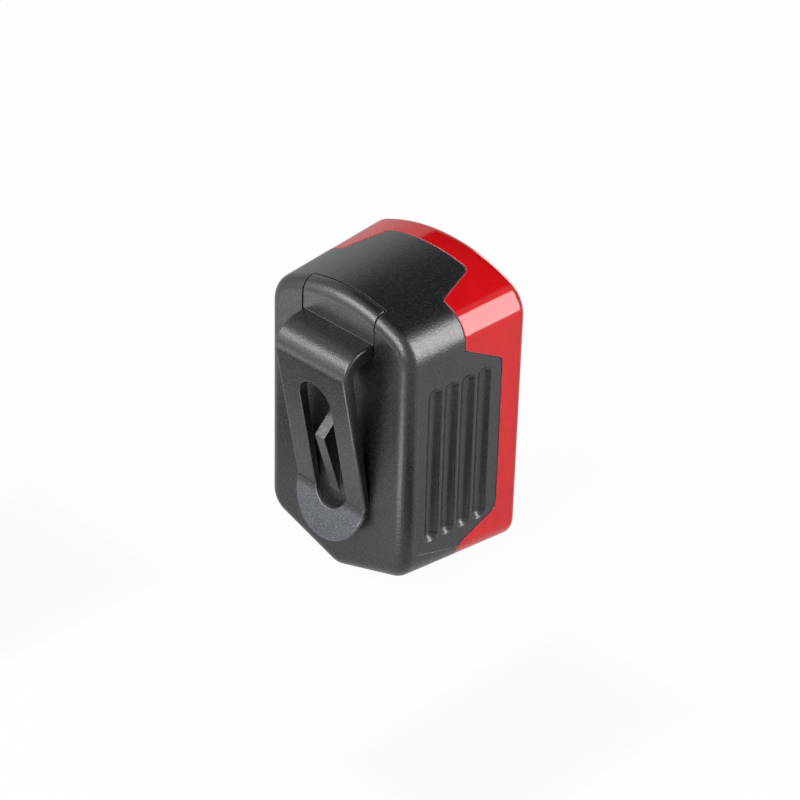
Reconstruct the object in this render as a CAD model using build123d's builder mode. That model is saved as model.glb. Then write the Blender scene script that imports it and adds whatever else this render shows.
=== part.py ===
from build123d import *
import math
import os

# Bicycle rear light with a belt clip. All lengths are in millimetres.
# The origin is on the back face under the clip, at the height of the wedge catch's crest.
# X runs across the lamp, the lens cover faces -Y, the clip stands off towards +Y, Z is up.
# Depth is measured forwards from the back face, so a depth d lies at y = -d.
# The hardest pieces are the drafted shield shells, which meet on a stepped parting line.

os.makedirs("parts", exist_ok=True)

# Standard cells
CELL_DIAMETER = 10.5
CELL_LENGTH = 44.5
CELL_NIPPLE_DIAMETER = 3.8
CELL_NIPPLE_HEIGHT = 1.0
CELL_EDGE_RADIUS = 0.5
CELL_GAP = 0.7
CELL_CLEARANCE = 0.15

# Battery cradle and its contacts
CRADLE_FLOOR = 0.7
CRADLE_WALL = 0.9
CRADLE_END_WALL = 1.0
CRADLE_RIM_ABOVE_AXIS = 0.9
CRADLE_CORNER_RADIUS = 2.0
CRADLE_WINDOW_LENGTH = 12.0
CRADLE_WINDOW_WIDTH = 6.0
CRADLE_RELIEF_LENGTH = 20.0
EAR_THICKNESS = 1.2
EAR_HALF_WIDTH = 3.0
CONTACT_THICKNESS = 0.4
CONTACT_WIDTH = 8.0
CONTACT_TAB_WIDTH = 4.4
CONTACT_TAB_HEIGHT = 2.6
CONTACT_FLOOR_GAP = 0.2
SPRING_LENGTH = 4.3
SPRING_WIRE = 0.6
SPRING_BASE_RADIUS = 3.7
SPRING_TIP_RADIUS = 2.2
SPRING_SEAT_GAP = 0.05
SPRING_TURNS = 3
ARCS_PER_TURN = 4
GAP_SAMPLES_PER_TURN = 48

# Screws
SCREW_DIAMETER = 2.0
SCREW_LENGTH = 4.4
SCREW_HEAD_DIAMETER = 3.8
SCREW_HEAD_HEIGHT = 1.2
SCREW_HEAD_ROUND = 0.4
SCREW_RECESS_WIDTH = 0.5
SCREW_RECESS_LENGTH = 2.2
SCREW_RECESS_DEPTH = 0.7
SCREW_HOLE_CLEARANCE = 0.05
SCREW_TIP_ROOM = 0.6
BOSS_WALL = 1.3

# Body outline and its draft
SIDE_ROOM = 7.53
CROWN_ROOM = 5.21
CROWN_RISE = 5.56
KEEL_ROOM = 7.5
VEE_DROP = 6.28
DRAFT_ANGLE = 3.6
SHOULDER_RADIUS = 7.4
HIP_RADIUS = 5.4
KEEL_RADIUS = 5.0
BACK_EDGE_RADIUS = 2.7
FRONT_EDGE_RADIUS = 1.7

# Shells
BACK_WALL = 2.4
HOUSING_WALL = 1.8
LAP_CLEARANCE = 0.2
SKIRT_THICKNESS = 1.2
SKIRT_LAP = 2.1
SKIRT_PAST_TONGUES = 1.6
GASKET_THICKNESS = 1.3
GASKET_SEAT_GAP = 0.05
LEDGE_DEPTH = 1.4
SEAM = 0.15

# Parting line and tongues
COVER_DEPTH = 16.3
TONGUE_SETBACK = 6.2
CROWN_TONGUE_TIP_HALF = 10.7
CROWN_TONGUE_ROOT_HALF = 13.8
CROWN_TONGUE_CORNER = 1.8
CROWN_TONGUE_ROOT_RADIUS = 1.0
SIDE_TONGUE_TOP_DROP = 4.65
SIDE_TONGUE_TOP_SLOPE = 5.3
SIDE_TONGUE_HIP_RISE = 2.45
SIDE_TONGUE_LOW_SLOPE = 4.8
SIDE_TONGUE_TOP_CORNER = 2.0
SIDE_TONGUE_LOW_CORNER = 2.8
SIDE_TONGUE_TOP_ROOT_RADIUS = 0.7
SIDE_TONGUE_LOW_ROOT_RADIUS = 2.6
COIN_NOTCH_HALF_WIDTH = 4.0
COIN_NOTCH_DEPTH = 1.3
COIN_NOTCH_HEIGHT = 1.2

# Grip panels and flutes
FLUTE_COUNT = 4
FLUTE_PITCH = 4.27
FLUTE_WIDTH = 3.4
FLUTE_CUT = 0.9
FLUTE_END_ROOM = 7.5
FLUTE_EDGE_ROUND = 0.45
FLUTE_LOWERING = 2.3
FLUTE_MARGIN = 2.85
PANEL_STEP = 0.1
PANEL_MARGIN = 0.45
PANEL_TOP_DROP = 4.0
PANEL_CROWN = 0.5
PANEL_BOTTOM_RISE = 4.8
PANEL_BOTTOM_FALL = 2.8
PANEL_CORNER = 1.2

# Belt clip and its seat
CLIP_HALF_WIDTH = 9.8
TILE_THICKNESS = 1.3
TILE_HEAD_DEPTH = 2.9
TILE_HEAD_HEIGHT = 3.9
TILE_GAP = 0.25
TILE_EDGE_ROUND = 0.2
CREASE_DROP = 7.5
LEG_DROP = 2.7
CURL_RADIUS = 5.0
CURL_STANDOFF = 7.6
CURL_DROP = 13.0
HEEL_RISE = 18.8
ARM_INNER_STANDOFF = 4.7
ARM_INNER_DROP = 16.5
HEEL_GAP = 0.2
FOOT_THICKNESS = 1.15
FOOT_FLARE = 17.0
LEG_UNDERSIDE_FALL = 1.25
INNER_CORNER_RADIUS = 1.8
HEEL_RADIUS = 1.5
CLIP_EDGE_ROUND = 0.6
SLOT_HALF_WIDTH = 4.4
SLOT_TOP_DROP = 17.9
SLOT_BOTTOM_RISE = 15.6
SLOT_EDGE_ROUND = 0.3
HOOK_OFFSET = 5.5
HOOK_WIDTH = 3.0
HOOK_REACH = 1.0
HOOK_HEIGHT = 1.2
HOOK_DROP = 2.6
HOOK_CLEARANCE = 0.2
SEAT_BACKING = 1.0
SEAT_SIDE_WALL = 1.6

# Wedge catch
CATCH_HALF_WIDTH = 1.3
CATCH_HEIGHT = 4.55
CATCH_TOP_RUN = 4.6
CATCH_RAMP_RUN = 14.6

# Circuit board, emitters and switch
COMPONENT_ROOM = 3.6
BOARD_THICKNESS = 1.6
BOARD_EDGE_GAP = 0.5
OPTIC_ROOM = 9.85
CHIP_SIZE = 5.0
CHIP_HEIGHT = 1.2
CHIP_BEVEL = 0.24
CHIP_DROP = 15.0
CAPACITOR_RADIUS = 2.0
CAPACITOR_HEIGHT = 2.6
CAPACITOR_ROUND = 0.4
CAPACITOR_SPREAD = 12.5
RESISTOR_LENGTH = 3.0
RESISTOR_WIDTH = 1.6
RESISTOR_HEIGHT = 0.7
RESISTOR_SPACING = 3.4
RESISTOR_COUNT = 4
LED_SIZE = 3.5
SIDE_LED_SIZE = 2.8
LED_BASE_HEIGHT = 0.8
LED_DOME_SHARE = 0.38
CENTRE_BOWL_RADIUS = 8.6
SIDE_BOWL_RADIUS = 4.2
CENTRE_LED_DROP = 23.5
SIDE_LED_SPREAD = 12.0
SIDE_LED_DROP = 6.5
BOWL_WALL = 0.7
BOWL_THROAT_GAP = 0.3
BOWL_BULGE_SHARES = (0.62, 0.30)
REFLECTOR_PLATE = 0.9
REFLECTOR_GAP = 1.8
REFLECTOR_EDGE_GAP = 0.5
REFLECTOR_LIFT = 0.3
SWITCH_SIZE = 6.2
SWITCH_HEIGHT = 3.4
PLUNGER_RADIUS = 1.7
PLUNGER_OUT = 1.0
PLUNGER_BURIED = 1.8
PLUNGER_CLEARANCE = 0.05

# Push button
BUTTON_RISE = 18.8
BUTTON_RADIUS = 5.5
BUTTON_PROUD = 0.8
BUTTON_CLEARANCE = 0.15
BUTTON_FLANGE_LIP = 0.9
BUTTON_FLANGE_THICKNESS = 1.1
BUTTON_FLANGE_GAP = 0.05
BUTTON_STEM_RADIUS = 1.9
BUTTON_EDGE_ROUND = 0.6
BUTTON_DISH_RADIUS = 14.0
BUTTON_DISH_CUT = 0.45
BUTTON_TRAVEL = 0.6
GUIDE_WALL = 0.9
GUIDE_LENGTH = 1.6
GUIDE_CLEARANCE = 0.25

# Lens cover posts and optic rings
POST_RADIUS = 2.2
POST_SHOULDER = 0.7
POST_SPREAD = 13.0
POST_DROP = 13.5
LOW_POST_RISE = 7.8
POST_HOLE_CLEARANCE = 0.15
OPTIC_RING_COUNT = 4
OPTIC_RING_HEIGHT = 0.9
OPTIC_CORE_RADIUS = 2.6
OPTIC_CORE_SHARES = (0.6, 0.75)

# Leaf blades between the board and the cell contacts
BLADE_THICKNESS = 0.3
BLADE_WIDTH = 2.6
BLADE_FOOT = 3.2
BLADE_CONTACT_GAP = 0.1

# One overrun serves every cut
OVERRUN = 1.0

# How squarely a face looks backwards, as a share of its normal
FACING_SHARE = 0.1
FLAT_SHARE = 0.01

# Places worked out from the sizes
cell_radius = CELL_DIAMETER / 2
cell_offset = (CELL_DIAMETER + CELL_GAP) / 2
cavity_half_length = (CELL_LENGTH + SPRING_LENGTH) / 2
contact_outer = cavity_half_length + CONTACT_THICKNESS
cradle_half_length = contact_outer + CRADLE_END_WALL
cradle_inner_half_width = cell_offset + cell_radius + CELL_CLEARANCE
cradle_half_width = cradle_inner_half_width + CRADLE_WALL
cradle_floor_depth = BACK_WALL + CRADLE_FLOOR
cell_axis_depth = cradle_floor_depth + CELL_CLEARANCE + cell_radius
cradle_rim_depth = cell_axis_depth + CRADLE_RIM_ABOVE_AXIS
cell_front_depth = cell_axis_depth + cell_radius

cover_wall = HOUSING_WALL + LAP_CLEARANCE
board_back_depth = cell_front_depth + COMPONENT_ROOM
board_front_depth = board_back_depth + BOARD_THICKNESS
cover_inner_depth = board_front_depth + OPTIC_ROOM
body_depth = cover_inner_depth + cover_wall

back_half_width = cradle_half_width + SIDE_ROOM
crest_height = cradle_half_length + CROWN_ROOM
shoulder_height = crest_height - CROWN_RISE
keel_height = -(cradle_half_length + KEEL_ROOM)
hip_height = keel_height + VEE_DROP
span = 2 * (crest_height - keel_height)

parting_depth = body_depth - COVER_DEPTH
tongue_depth = body_depth - TONGUE_SETBACK
skirt_inset = cover_wall + SKIRT_THICKNESS
skirt_end_depth = parting_depth - SKIRT_LAP
skirt_front_depth = tongue_depth + SKIRT_PAST_TONGUES
ledge_front_depth = skirt_end_depth - GASKET_THICKNESS
ledge_back_depth = ledge_front_depth - LEDGE_DEPTH

crease_height = crest_height - CREASE_DROP
leg_underside = crease_height - LEG_DROP
tile_head_height = crest_height - TILE_HEAD_HEIGHT

boss_radius = SCREW_DIAMETER / 2 + BOSS_WALL
boss_offset = cradle_half_width + boss_radius + LAP_CLEARANCE
ear_depth = cell_axis_depth - CRADLE_RIM_ABOVE_AXIS
boss_top_depth = ear_depth - EAR_THICKNESS

reflector_front_depth = cover_inner_depth - REFLECTOR_GAP
reflector_back_depth = reflector_front_depth - REFLECTOR_PLATE
guide_radius = BUTTON_RADIUS + BUTTON_FLANGE_LIP + GUIDE_CLEARANCE
button_height = keel_height + BUTTON_RISE
button_centre = (0, button_height)
post_height = crest_height - POST_DROP
post_centres = [
    (-POST_SPREAD, post_height),
    (POST_SPREAD, post_height),
    (0, keel_height + LOW_POST_RISE),
]
centre_led_height = crest_height - CENTRE_LED_DROP
led_centres = {
    "led_left": (-SIDE_LED_SPREAD, -SIDE_LED_DROP),
    "led_centre": (0, centre_led_height),
    "led_right": (SIDE_LED_SPREAD, -SIDE_LED_DROP),
}
chip_height = crest_height - CHIP_DROP


def growth(depth):
    """How far the drafted sides have spread at a depth."""
    return depth * math.tan(math.radians(DRAFT_ANGLE))


def depth_plane(depth):
    """The plane across the lamp at a depth, with its normal towards the lens."""
    return Plane.XZ.offset(depth)


def shield(depth, inset=0):
    """The body's outline at a depth: arched crown, upright sides, vee keel."""
    half = back_half_width + growth(depth)
    shoulder = shoulder_height + growth(depth)
    hip = hip_height - growth(depth)
    with BuildSketch(depth_plane(depth)) as outline:
        with BuildLine():
            ThreePointArc((-half, shoulder), (0, shoulder + CROWN_RISE), (half, shoulder))
            Polyline(
                (half, shoulder),
                (half, hip),
                (0, hip - VEE_DROP),
                (-half, hip),
                (-half, shoulder),
            )
        make_face()
        fillet(outline.vertices().sort_by(Axis.Y)[-2:], SHOULDER_RADIUS)
        fillet(outline.vertices().sort_by(Axis.Y)[1:3], HIP_RADIUS)
        fillet(outline.vertices().sort_by(Axis.Y)[0], KEEL_RADIUS)
        if inset > 0:
            offset(amount=-inset)
    return outline.sketch.face()


def drafted_block(start, end, inset=0):
    """The body's drafted form between two depths, drawn in by an inset."""
    with BuildPart() as block:
        loft(sections=[shield(start, inset), shield(end, inset)])
    return block.part


def housing_zone(grow):
    """Everything on the housing's side of the stepped parting line, grown by a gap."""
    with BuildPart() as zone:
        with BuildSketch(depth_plane(-span)):
            Rectangle(span, span)
        extrude(amount=span + parting_depth + grow)
        with BuildSketch(Plane.XY.offset(cradle_half_length)) as crown_tongue:
            with BuildLine():
                Polyline(
                    (-span, span),
                    (-span, -parting_depth),
                    (-CROWN_TONGUE_ROOT_HALF, -parting_depth),
                    (-CROWN_TONGUE_TIP_HALF, -tongue_depth),
                    (CROWN_TONGUE_TIP_HALF, -tongue_depth),
                    (CROWN_TONGUE_ROOT_HALF, -parting_depth),
                    (span, -parting_depth),
                    (span, span),
                    close=True,
                )
            make_face()
            fillet(crown_tongue.vertices().group_by(Axis.Y)[0], CROWN_TONGUE_CORNER)
            roots = crown_tongue.vertices().filter_by(
                lambda corner: abs(abs(corner.X) - CROWN_TONGUE_ROOT_HALF) < SEAM
            )
            fillet(roots, CROWN_TONGUE_ROOT_RADIUS)
            if grow > 0:
                offset(amount=grow)
        extrude(amount=span)
        top_root = shoulder_height - SIDE_TONGUE_TOP_DROP
        low_root = hip_height + SIDE_TONGUE_HIP_RISE
        with BuildSketch(Plane.YZ.offset(cradle_half_width)) as side_tongue:
            with BuildLine():
                Polyline(
                    (span, -span),
                    (-parting_depth, -span),
                    (-parting_depth, low_root),
                    (-tongue_depth, low_root + SIDE_TONGUE_LOW_SLOPE),
                    (-tongue_depth, top_root - SIDE_TONGUE_TOP_SLOPE),
                    (-parting_depth, top_root),
                    (-parting_depth, span),
                    (span, span),
                    close=True,
                )
            make_face()
            tips = side_tongue.vertices().group_by(Axis.X)[0].sort_by(Axis.Y)
            fillet(tips[0], SIDE_TONGUE_LOW_CORNER)
            tips = side_tongue.vertices().sort_by(Axis.Y).filter_by(
                lambda corner: abs(corner.X + tongue_depth) < SEAM
            )
            fillet(tips[-1], SIDE_TONGUE_TOP_CORNER)
            fillet(
                side_tongue.vertices().sort_by_distance((-parting_depth, top_root))[0],
                SIDE_TONGUE_TOP_ROOT_RADIUS,
            )
            fillet(
                side_tongue.vertices().sort_by_distance((-parting_depth, low_root))[0],
                SIDE_TONGUE_LOW_ROOT_RADIUS,
            )
            if grow > 0:
                offset(amount=grow)
        extrude(amount=span)
        mirror(about=Plane.YZ)
    return zone.part


def pan_screw(centre, head_depth, forwards):
    """A pan-head screw; its head stands off a seat at a depth, forwards or backwards."""
    facing = 1 if forwards else -1
    seat = depth_plane(head_depth)
    if not forwards:
        seat = Plane(seat.origin, x_dir=seat.x_dir, z_dir=-seat.z_dir)
    x, z = centre
    local = (x, z * facing)
    with BuildPart() as screw:
        with BuildSketch(seat):
            with Locations(local):
                Circle(SCREW_HEAD_DIAMETER / 2)
        extrude(amount=SCREW_HEAD_HEIGHT)
        fillet(screw.edges().sort_by(Axis(seat.origin, seat.z_dir))[-1], SCREW_HEAD_ROUND)
        with BuildSketch(seat):
            with Locations(local):
                Circle(SCREW_DIAMETER / 2)
        extrude(amount=-SCREW_LENGTH)
        with BuildSketch(seat.offset(SCREW_HEAD_HEIGHT)):
            with Locations(local):
                Rectangle(SCREW_RECESS_LENGTH, SCREW_RECESS_WIDTH)
                Rectangle(SCREW_RECESS_WIDTH, SCREW_RECESS_LENGTH)
        extrude(amount=-SCREW_RECESS_DEPTH, mode=Mode.SUBTRACT)
    return screw.part


def helix_point(turn, x, base_height, climb):
    """A point on the spring's centre line, after a number of turns from its base."""
    share = turn / SPRING_TURNS
    radius = SPRING_BASE_RADIUS + (SPRING_TIP_RADIUS - SPRING_BASE_RADIUS) * share
    rise = SPRING_LENGTH - SPRING_WIRE - 2 * SPRING_SEAT_GAP
    angle = math.tau * turn
    height = base_height + climb * (SPRING_WIRE / 2 + SPRING_SEAT_GAP + rise * share)
    return Vector(
        x + radius * math.cos(angle), radius * math.sin(angle) - cell_axis_depth, height
    )


def helix_tangent(turn, x, base_height, climb):
    """The direction of the spring's centre line at a turn."""
    step = 1 / GAP_SAMPLES_PER_TURN ** 2
    ahead = helix_point(turn + step, x, base_height, climb)
    behind = helix_point(turn - step, x, base_height, climb)
    return (ahead - behind).normalized()


def biarc_joint(start, end, start_tangent, end_tangent):
    """Where two tangent arcs meet between two points with given tangents."""
    chord = end - start
    both = start_tangent + end_tangent
    bend = 2 * (1 - start_tangent.dot(end_tangent))
    along = chord.dot(both)
    reach = (-along + math.sqrt(along ** 2 + bend * chord.dot(chord))) / bend
    return (start + end + (start_tangent - end_tangent) * reach) * 0.5


def cell_spring(x, base_height, climb):
    """A conical contact spring, wound as one tube on tangent arcs."""
    steps = SPRING_TURNS * ARCS_PER_TURN
    knots = [step / ARCS_PER_TURN for step in range(steps + 1)]
    with BuildPart() as spring:
        with BuildLine() as path:
            for first, second in zip(knots, knots[1:]):
                start = helix_point(first, x, base_height, climb)
                end = helix_point(second, x, base_height, climb)
                start_tangent = helix_tangent(first, x, base_height, climb)
                end_tangent = helix_tangent(second, x, base_height, climb)
                joint = biarc_joint(start, end, start_tangent, end_tangent)
                TangentArc(start, joint, tangent=start_tangent)
                TangentArc(end, joint, tangent=-end_tangent)
        base = helix_point(0, x, base_height, climb)
        with BuildSketch(Plane(base, z_dir=helix_tangent(0, x, base_height, climb))):
            Circle(SPRING_WIRE / 2)
        sweep(path=path.wire())
    return spring


def least_spring_gap():
    """The least clear gap between one turn of the spring and the next."""
    gaps = []
    for sample in range((SPRING_TURNS - 1) * GAP_SAMPLES_PER_TURN + 1):
        turn = sample / GAP_SAMPLES_PER_TURN
        here = helix_point(turn, 0, 0, 1)
        for shift in range(-GAP_SAMPLES_PER_TURN // 4, GAP_SAMPLES_PER_TURN // 4 + 1):
            there = helix_point(turn + 1 + shift / GAP_SAMPLES_PER_TURN, 0, 0, 1)
            gaps.append((there - here).length - SPRING_WIRE)
    return min(gaps)


# Envelope shared by both shells, with its rounded back and front edges
with BuildPart() as envelope:
    loft(sections=[shield(0), shield(body_depth)])
    fillet(envelope.faces().sort_by(Axis.Y)[-1].edges(), BACK_EDGE_RADIUS)
    fillet(envelope.faces().sort_by(Axis.Y)[0].edges(), FRONT_EDGE_RADIUS)

# Grip panels: a skin off both sides, from the back edge's round to the tongues' front edges
panel_top = shoulder_height - PANEL_TOP_DROP
panel_bottom = hip_height + PANEL_BOTTOM_RISE
panel_back = BACK_EDGE_RADIUS + PANEL_MARGIN
with BuildPart() as panel_skin:
    with BuildSketch(Plane.YZ.offset(-span)):
        with BuildLine():
            Line((-panel_back, panel_bottom), (-panel_back, panel_top))
            ThreePointArc(
                (-panel_back, panel_top),
                (-(panel_back + parting_depth) / 2, panel_top + PANEL_CROWN),
                (-parting_depth, panel_top - PANEL_CROWN),
            )
            Polyline(
                (-parting_depth, panel_top - PANEL_CROWN),
                (-body_depth, panel_top - PANEL_CROWN),
                (-body_depth, panel_bottom - PANEL_BOTTOM_FALL),
                (-parting_depth, panel_bottom - PANEL_BOTTOM_FALL),
                (-panel_back, panel_bottom),
            )
        make_face()
    extrude(amount=2 * span)
    fillet(panel_skin.edges().filter_by(Axis.X).group_by(Axis.Y)[-1], PANEL_CORNER)
    add(drafted_block(0, body_depth, PANEL_STEP), mode=Mode.SUBTRACT)

# One finger flute with soft lips, as a cutter lying on the panel's plane, its length along X
flute_radius = (FLUTE_WIDTH ** 2 / 4 + FLUTE_CUT ** 2) / (2 * FLUTE_CUT)
flute_length = panel_top - panel_bottom - FLUTE_END_ROOM
with BuildPart() as flute_cutter:
    with BuildSketch():
        SlotOverall(flute_length + 4 * FLUTE_EDGE_ROUND, FLUTE_WIDTH + 4 * FLUTE_EDGE_ROUND)
    extrude(amount=OVERRUN)
    with BuildSketch(Plane.XZ):
        with Locations((0, flute_radius - FLUTE_CUT)):
            SlotOverall(flute_length, 2 * flute_radius)
            Rectangle(
                2 * flute_length,
                2 * flute_radius,
                align=(Align.CENTER, Align.MAX),
                mode=Mode.SUBTRACT,
            )
    revolve(axis=Axis((0, 0, flute_radius - FLUTE_CUT), (1, 0, 0)))
    plate_underside = flute_cutter.faces().filter_by(Axis.Z).sort_by(Axis.Z)[0]
    fillet(plate_underside.inner_wires()[0].edges(), FLUTE_EDGE_ROUND)

# Rear housing, from the envelope behind the parting line
with BuildPart() as rear_room:
    add(drafted_block(BACK_WALL, ledge_back_depth, HOUSING_WALL))
    backing_depth = TILE_HEAD_DEPTH + TILE_GAP + HOOK_REACH + HOOK_CLEARANCE + SEAT_BACKING
    with BuildSketch(depth_plane(0)):
        with Locations((0, cradle_half_length + HOOK_CLEARANCE)):
            Rectangle(
                2 * (CLIP_HALF_WIDTH + TILE_GAP + SEAT_SIDE_WALL),
                span,
                align=(Align.CENTER, Align.MIN),
            )
    extrude(amount=backing_depth, mode=Mode.SUBTRACT)

with BuildPart() as rear_housing:
    add(envelope.part)
    add(housing_zone(0), mode=Mode.INTERSECT)
    add(rear_room.part, mode=Mode.SUBTRACT)
    add(
        drafted_block(ledge_back_depth, ledge_front_depth, skirt_inset),
        mode=Mode.SUBTRACT,
    )
    add(drafted_block(ledge_front_depth, body_depth, HOUSING_WALL), mode=Mode.SUBTRACT)

    # Seat for the clip's root tile and its hooks
    with BuildSketch(depth_plane(0)):
        with Locations((0, leg_underside - SEAM)):
            Rectangle(2 * (CLIP_HALF_WIDTH + TILE_GAP), span, align=(Align.CENTER, Align.MIN))
    extrude(amount=TILE_THICKNESS + SEAM, mode=Mode.SUBTRACT)
    with BuildSketch(depth_plane(0)):
        with Locations((0, tile_head_height - SEAM)):
            Rectangle(2 * (CLIP_HALF_WIDTH + TILE_GAP), span, align=(Align.CENTER, Align.MIN))
    extrude(amount=TILE_HEAD_DEPTH + TILE_GAP, mode=Mode.SUBTRACT)
    with BuildSketch(depth_plane(TILE_HEAD_DEPTH)):
        with Locations(*[(side * HOOK_OFFSET, crest_height - HOOK_DROP) for side in (-1, 1)]):
            Rectangle(HOOK_WIDTH + 2 * HOOK_CLEARANCE, HOOK_HEIGHT + 2 * HOOK_CLEARANCE)
    extrude(amount=HOOK_REACH + HOOK_CLEARANCE, mode=Mode.SUBTRACT)

    # Wedge catch under the clip
    with BuildSketch(Plane.YZ.offset(-CATCH_HALF_WIDTH)):
        with BuildLine():
            Polyline(
                (-OVERRUN, CATCH_TOP_RUN),
                (0, CATCH_TOP_RUN),
                (CATCH_HEIGHT, 0),
                (0, -CATCH_RAMP_RUN),
                (-OVERRUN, -CATCH_RAMP_RUN),
                close=True,
            )
        make_face()
    extrude(amount=2 * CATCH_HALF_WIDTH)

    # Screw bosses for the cradle
    with BuildSketch(depth_plane(BACK_WALL - OVERRUN)):
        with Locations((-boss_offset, 0), (boss_offset, 0)):
            Circle(boss_radius)
    extrude(amount=boss_top_depth - BACK_WALL + OVERRUN)
    with BuildSketch(depth_plane(boss_top_depth)):
        with Locations((-boss_offset, 0), (boss_offset, 0)):
            Circle(SCREW_DIAMETER / 2 + SCREW_HOLE_CLEARANCE)
    extrude(amount=-(SCREW_LENGTH - EAR_THICKNESS + SCREW_TIP_ROOM), mode=Mode.SUBTRACT)

    # Coin notch in the keel's edge
    with BuildSketch(depth_plane(parting_depth - COIN_NOTCH_DEPTH)):
        with Locations((0, keel_height - growth(parting_depth) + COIN_NOTCH_HEIGHT)):
            Rectangle(2 * COIN_NOTCH_HALF_WIDTH, span, align=(Align.CENTER, Align.MAX))
    extrude(amount=COIN_NOTCH_DEPTH + OVERRUN, mode=Mode.SUBTRACT)

    # Grip panels, a skin lower than the sides, each with its row of flutes
    add(panel_skin.part, mode=Mode.SUBTRACT)
    first_flute = tongue_depth - FLUTE_MARGIN - FLUTE_WIDTH / 2
    draft = math.radians(DRAFT_ANGLE)
    for side in (-1, 1):
        for index in range(FLUTE_COUNT):
            depth = first_flute - index * FLUTE_PITCH
            flute_plane = Plane(
                origin=(
                    side * (back_half_width + growth(depth) - PANEL_STEP),
                    -depth,
                    (panel_top + panel_bottom) / 2 - FLUTE_LOWERING,
                ),
                x_dir=(0, 0, 1),
                z_dir=(side * math.cos(draft), math.sin(draft), 0),
            )
            with Locations(flute_plane):
                add(flute_cutter.part, mode=Mode.SUBTRACT)
rear_housing.part.label = "rear_housing"
export_step(rear_housing.part, "parts/rear_housing.step")

# Belt clip: root tile, curl, slotted arm and flared foot
heel_height = keel_height + HEEL_RISE
curl_centre = Vector(CURL_STANDOFF - CURL_RADIUS, crest_height - CURL_DROP)
flare = math.radians(FOOT_FLARE)
crease = Vector(0, crease_height)
to_crease = crease - curl_centre
upper_angle = math.atan2(to_crease.Y, to_crease.X) - math.acos(CURL_RADIUS / to_crease.length)
curl_top = curl_centre + Vector(math.cos(upper_angle), math.sin(upper_angle)) * CURL_RADIUS
heel = Vector(HEEL_GAP + FOOT_THICKNESS, heel_height)
to_curl = curl_centre - heel
lean = math.atan2(to_curl.X, to_curl.Y) + math.asin(CURL_RADIUS / to_curl.length)
curl_out = curl_centre + Vector(math.cos(-lean / 2), math.sin(-lean / 2)) * CURL_RADIUS
curl_end = curl_centre + Vector(math.cos(-lean), math.sin(-lean)) * CURL_RADIUS
foot_length = CLIP_HALF_WIDTH + FOOT_THICKNESS + OVERRUN
toe = heel + Vector(math.tan(flare), -1) * foot_length
inner_heel = Vector(HEEL_GAP, heel_height + FOOT_THICKNESS)
inner_toe = inner_heel + Vector(math.tan(flare), -1) * foot_length
inner_top = Vector(ARM_INNER_STANDOFF, crest_height - ARM_INNER_DROP)
inner_slope = (inner_top - inner_heel) * (1 / (inner_top.Y - inner_heel.Y))
under_fall = LEG_UNDERSIDE_FALL / inner_top.X
corner_rise = (leg_underside - inner_top.Y - under_fall * inner_top.X) / (
    1 + under_fall * inner_slope.X
)
inner_corner = inner_top + inner_slope * corner_rise

with BuildPart() as arm_block:
    with BuildSketch(Plane.YZ.offset(-CLIP_HALF_WIDTH)) as arm:
        with BuildLine():
            Line((-TILE_THICKNESS, crease_height), crease)
            Line(crease, curl_top)
            ThreePointArc(curl_top, curl_out, curl_end)
            Polyline(
                curl_end,
                heel,
                toe,
                inner_toe,
                inner_heel,
                inner_corner,
                (0, leg_underside),
                (-TILE_THICKNESS, leg_underside),
                (-TILE_THICKNESS, crease_height),
            )
        make_face()
        fillet(arm.vertices().sort_by_distance(inner_corner)[0], INNER_CORNER_RADIUS)
        fillet(arm.vertices().sort_by_distance(inner_heel)[0], HEEL_RADIUS)
        fillet(arm.vertices().sort_by_distance(heel)[0], HEEL_RADIUS)
    extrude(amount=2 * CLIP_HALF_WIDTH)
    # Round foot, seen from behind
    with BuildSketch(depth_plane(TILE_THICKNESS)):
        with Locations((0, heel_height)):
            Circle(CLIP_HALF_WIDTH)
            Rectangle(2 * CLIP_HALF_WIDTH, span, align=(Align.CENTER, Align.MIN))
    extrude(amount=-span, mode=Mode.INTERSECT)
    outer_edges = arm_block.faces().filter_by(lambda face: face.normal_at().Y > FACING_SHARE).edges()
    rim_edges = arm_block.faces().filter_by(
        lambda face: abs(face.normal_at().Y) < FLAT_SHARE and face.normal_at().Z < FLAT_SHARE
    ).edges()
    fillet(outer_edges.filter_by(lambda edge: edge in rim_edges), CLIP_EDGE_ROUND)

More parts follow.
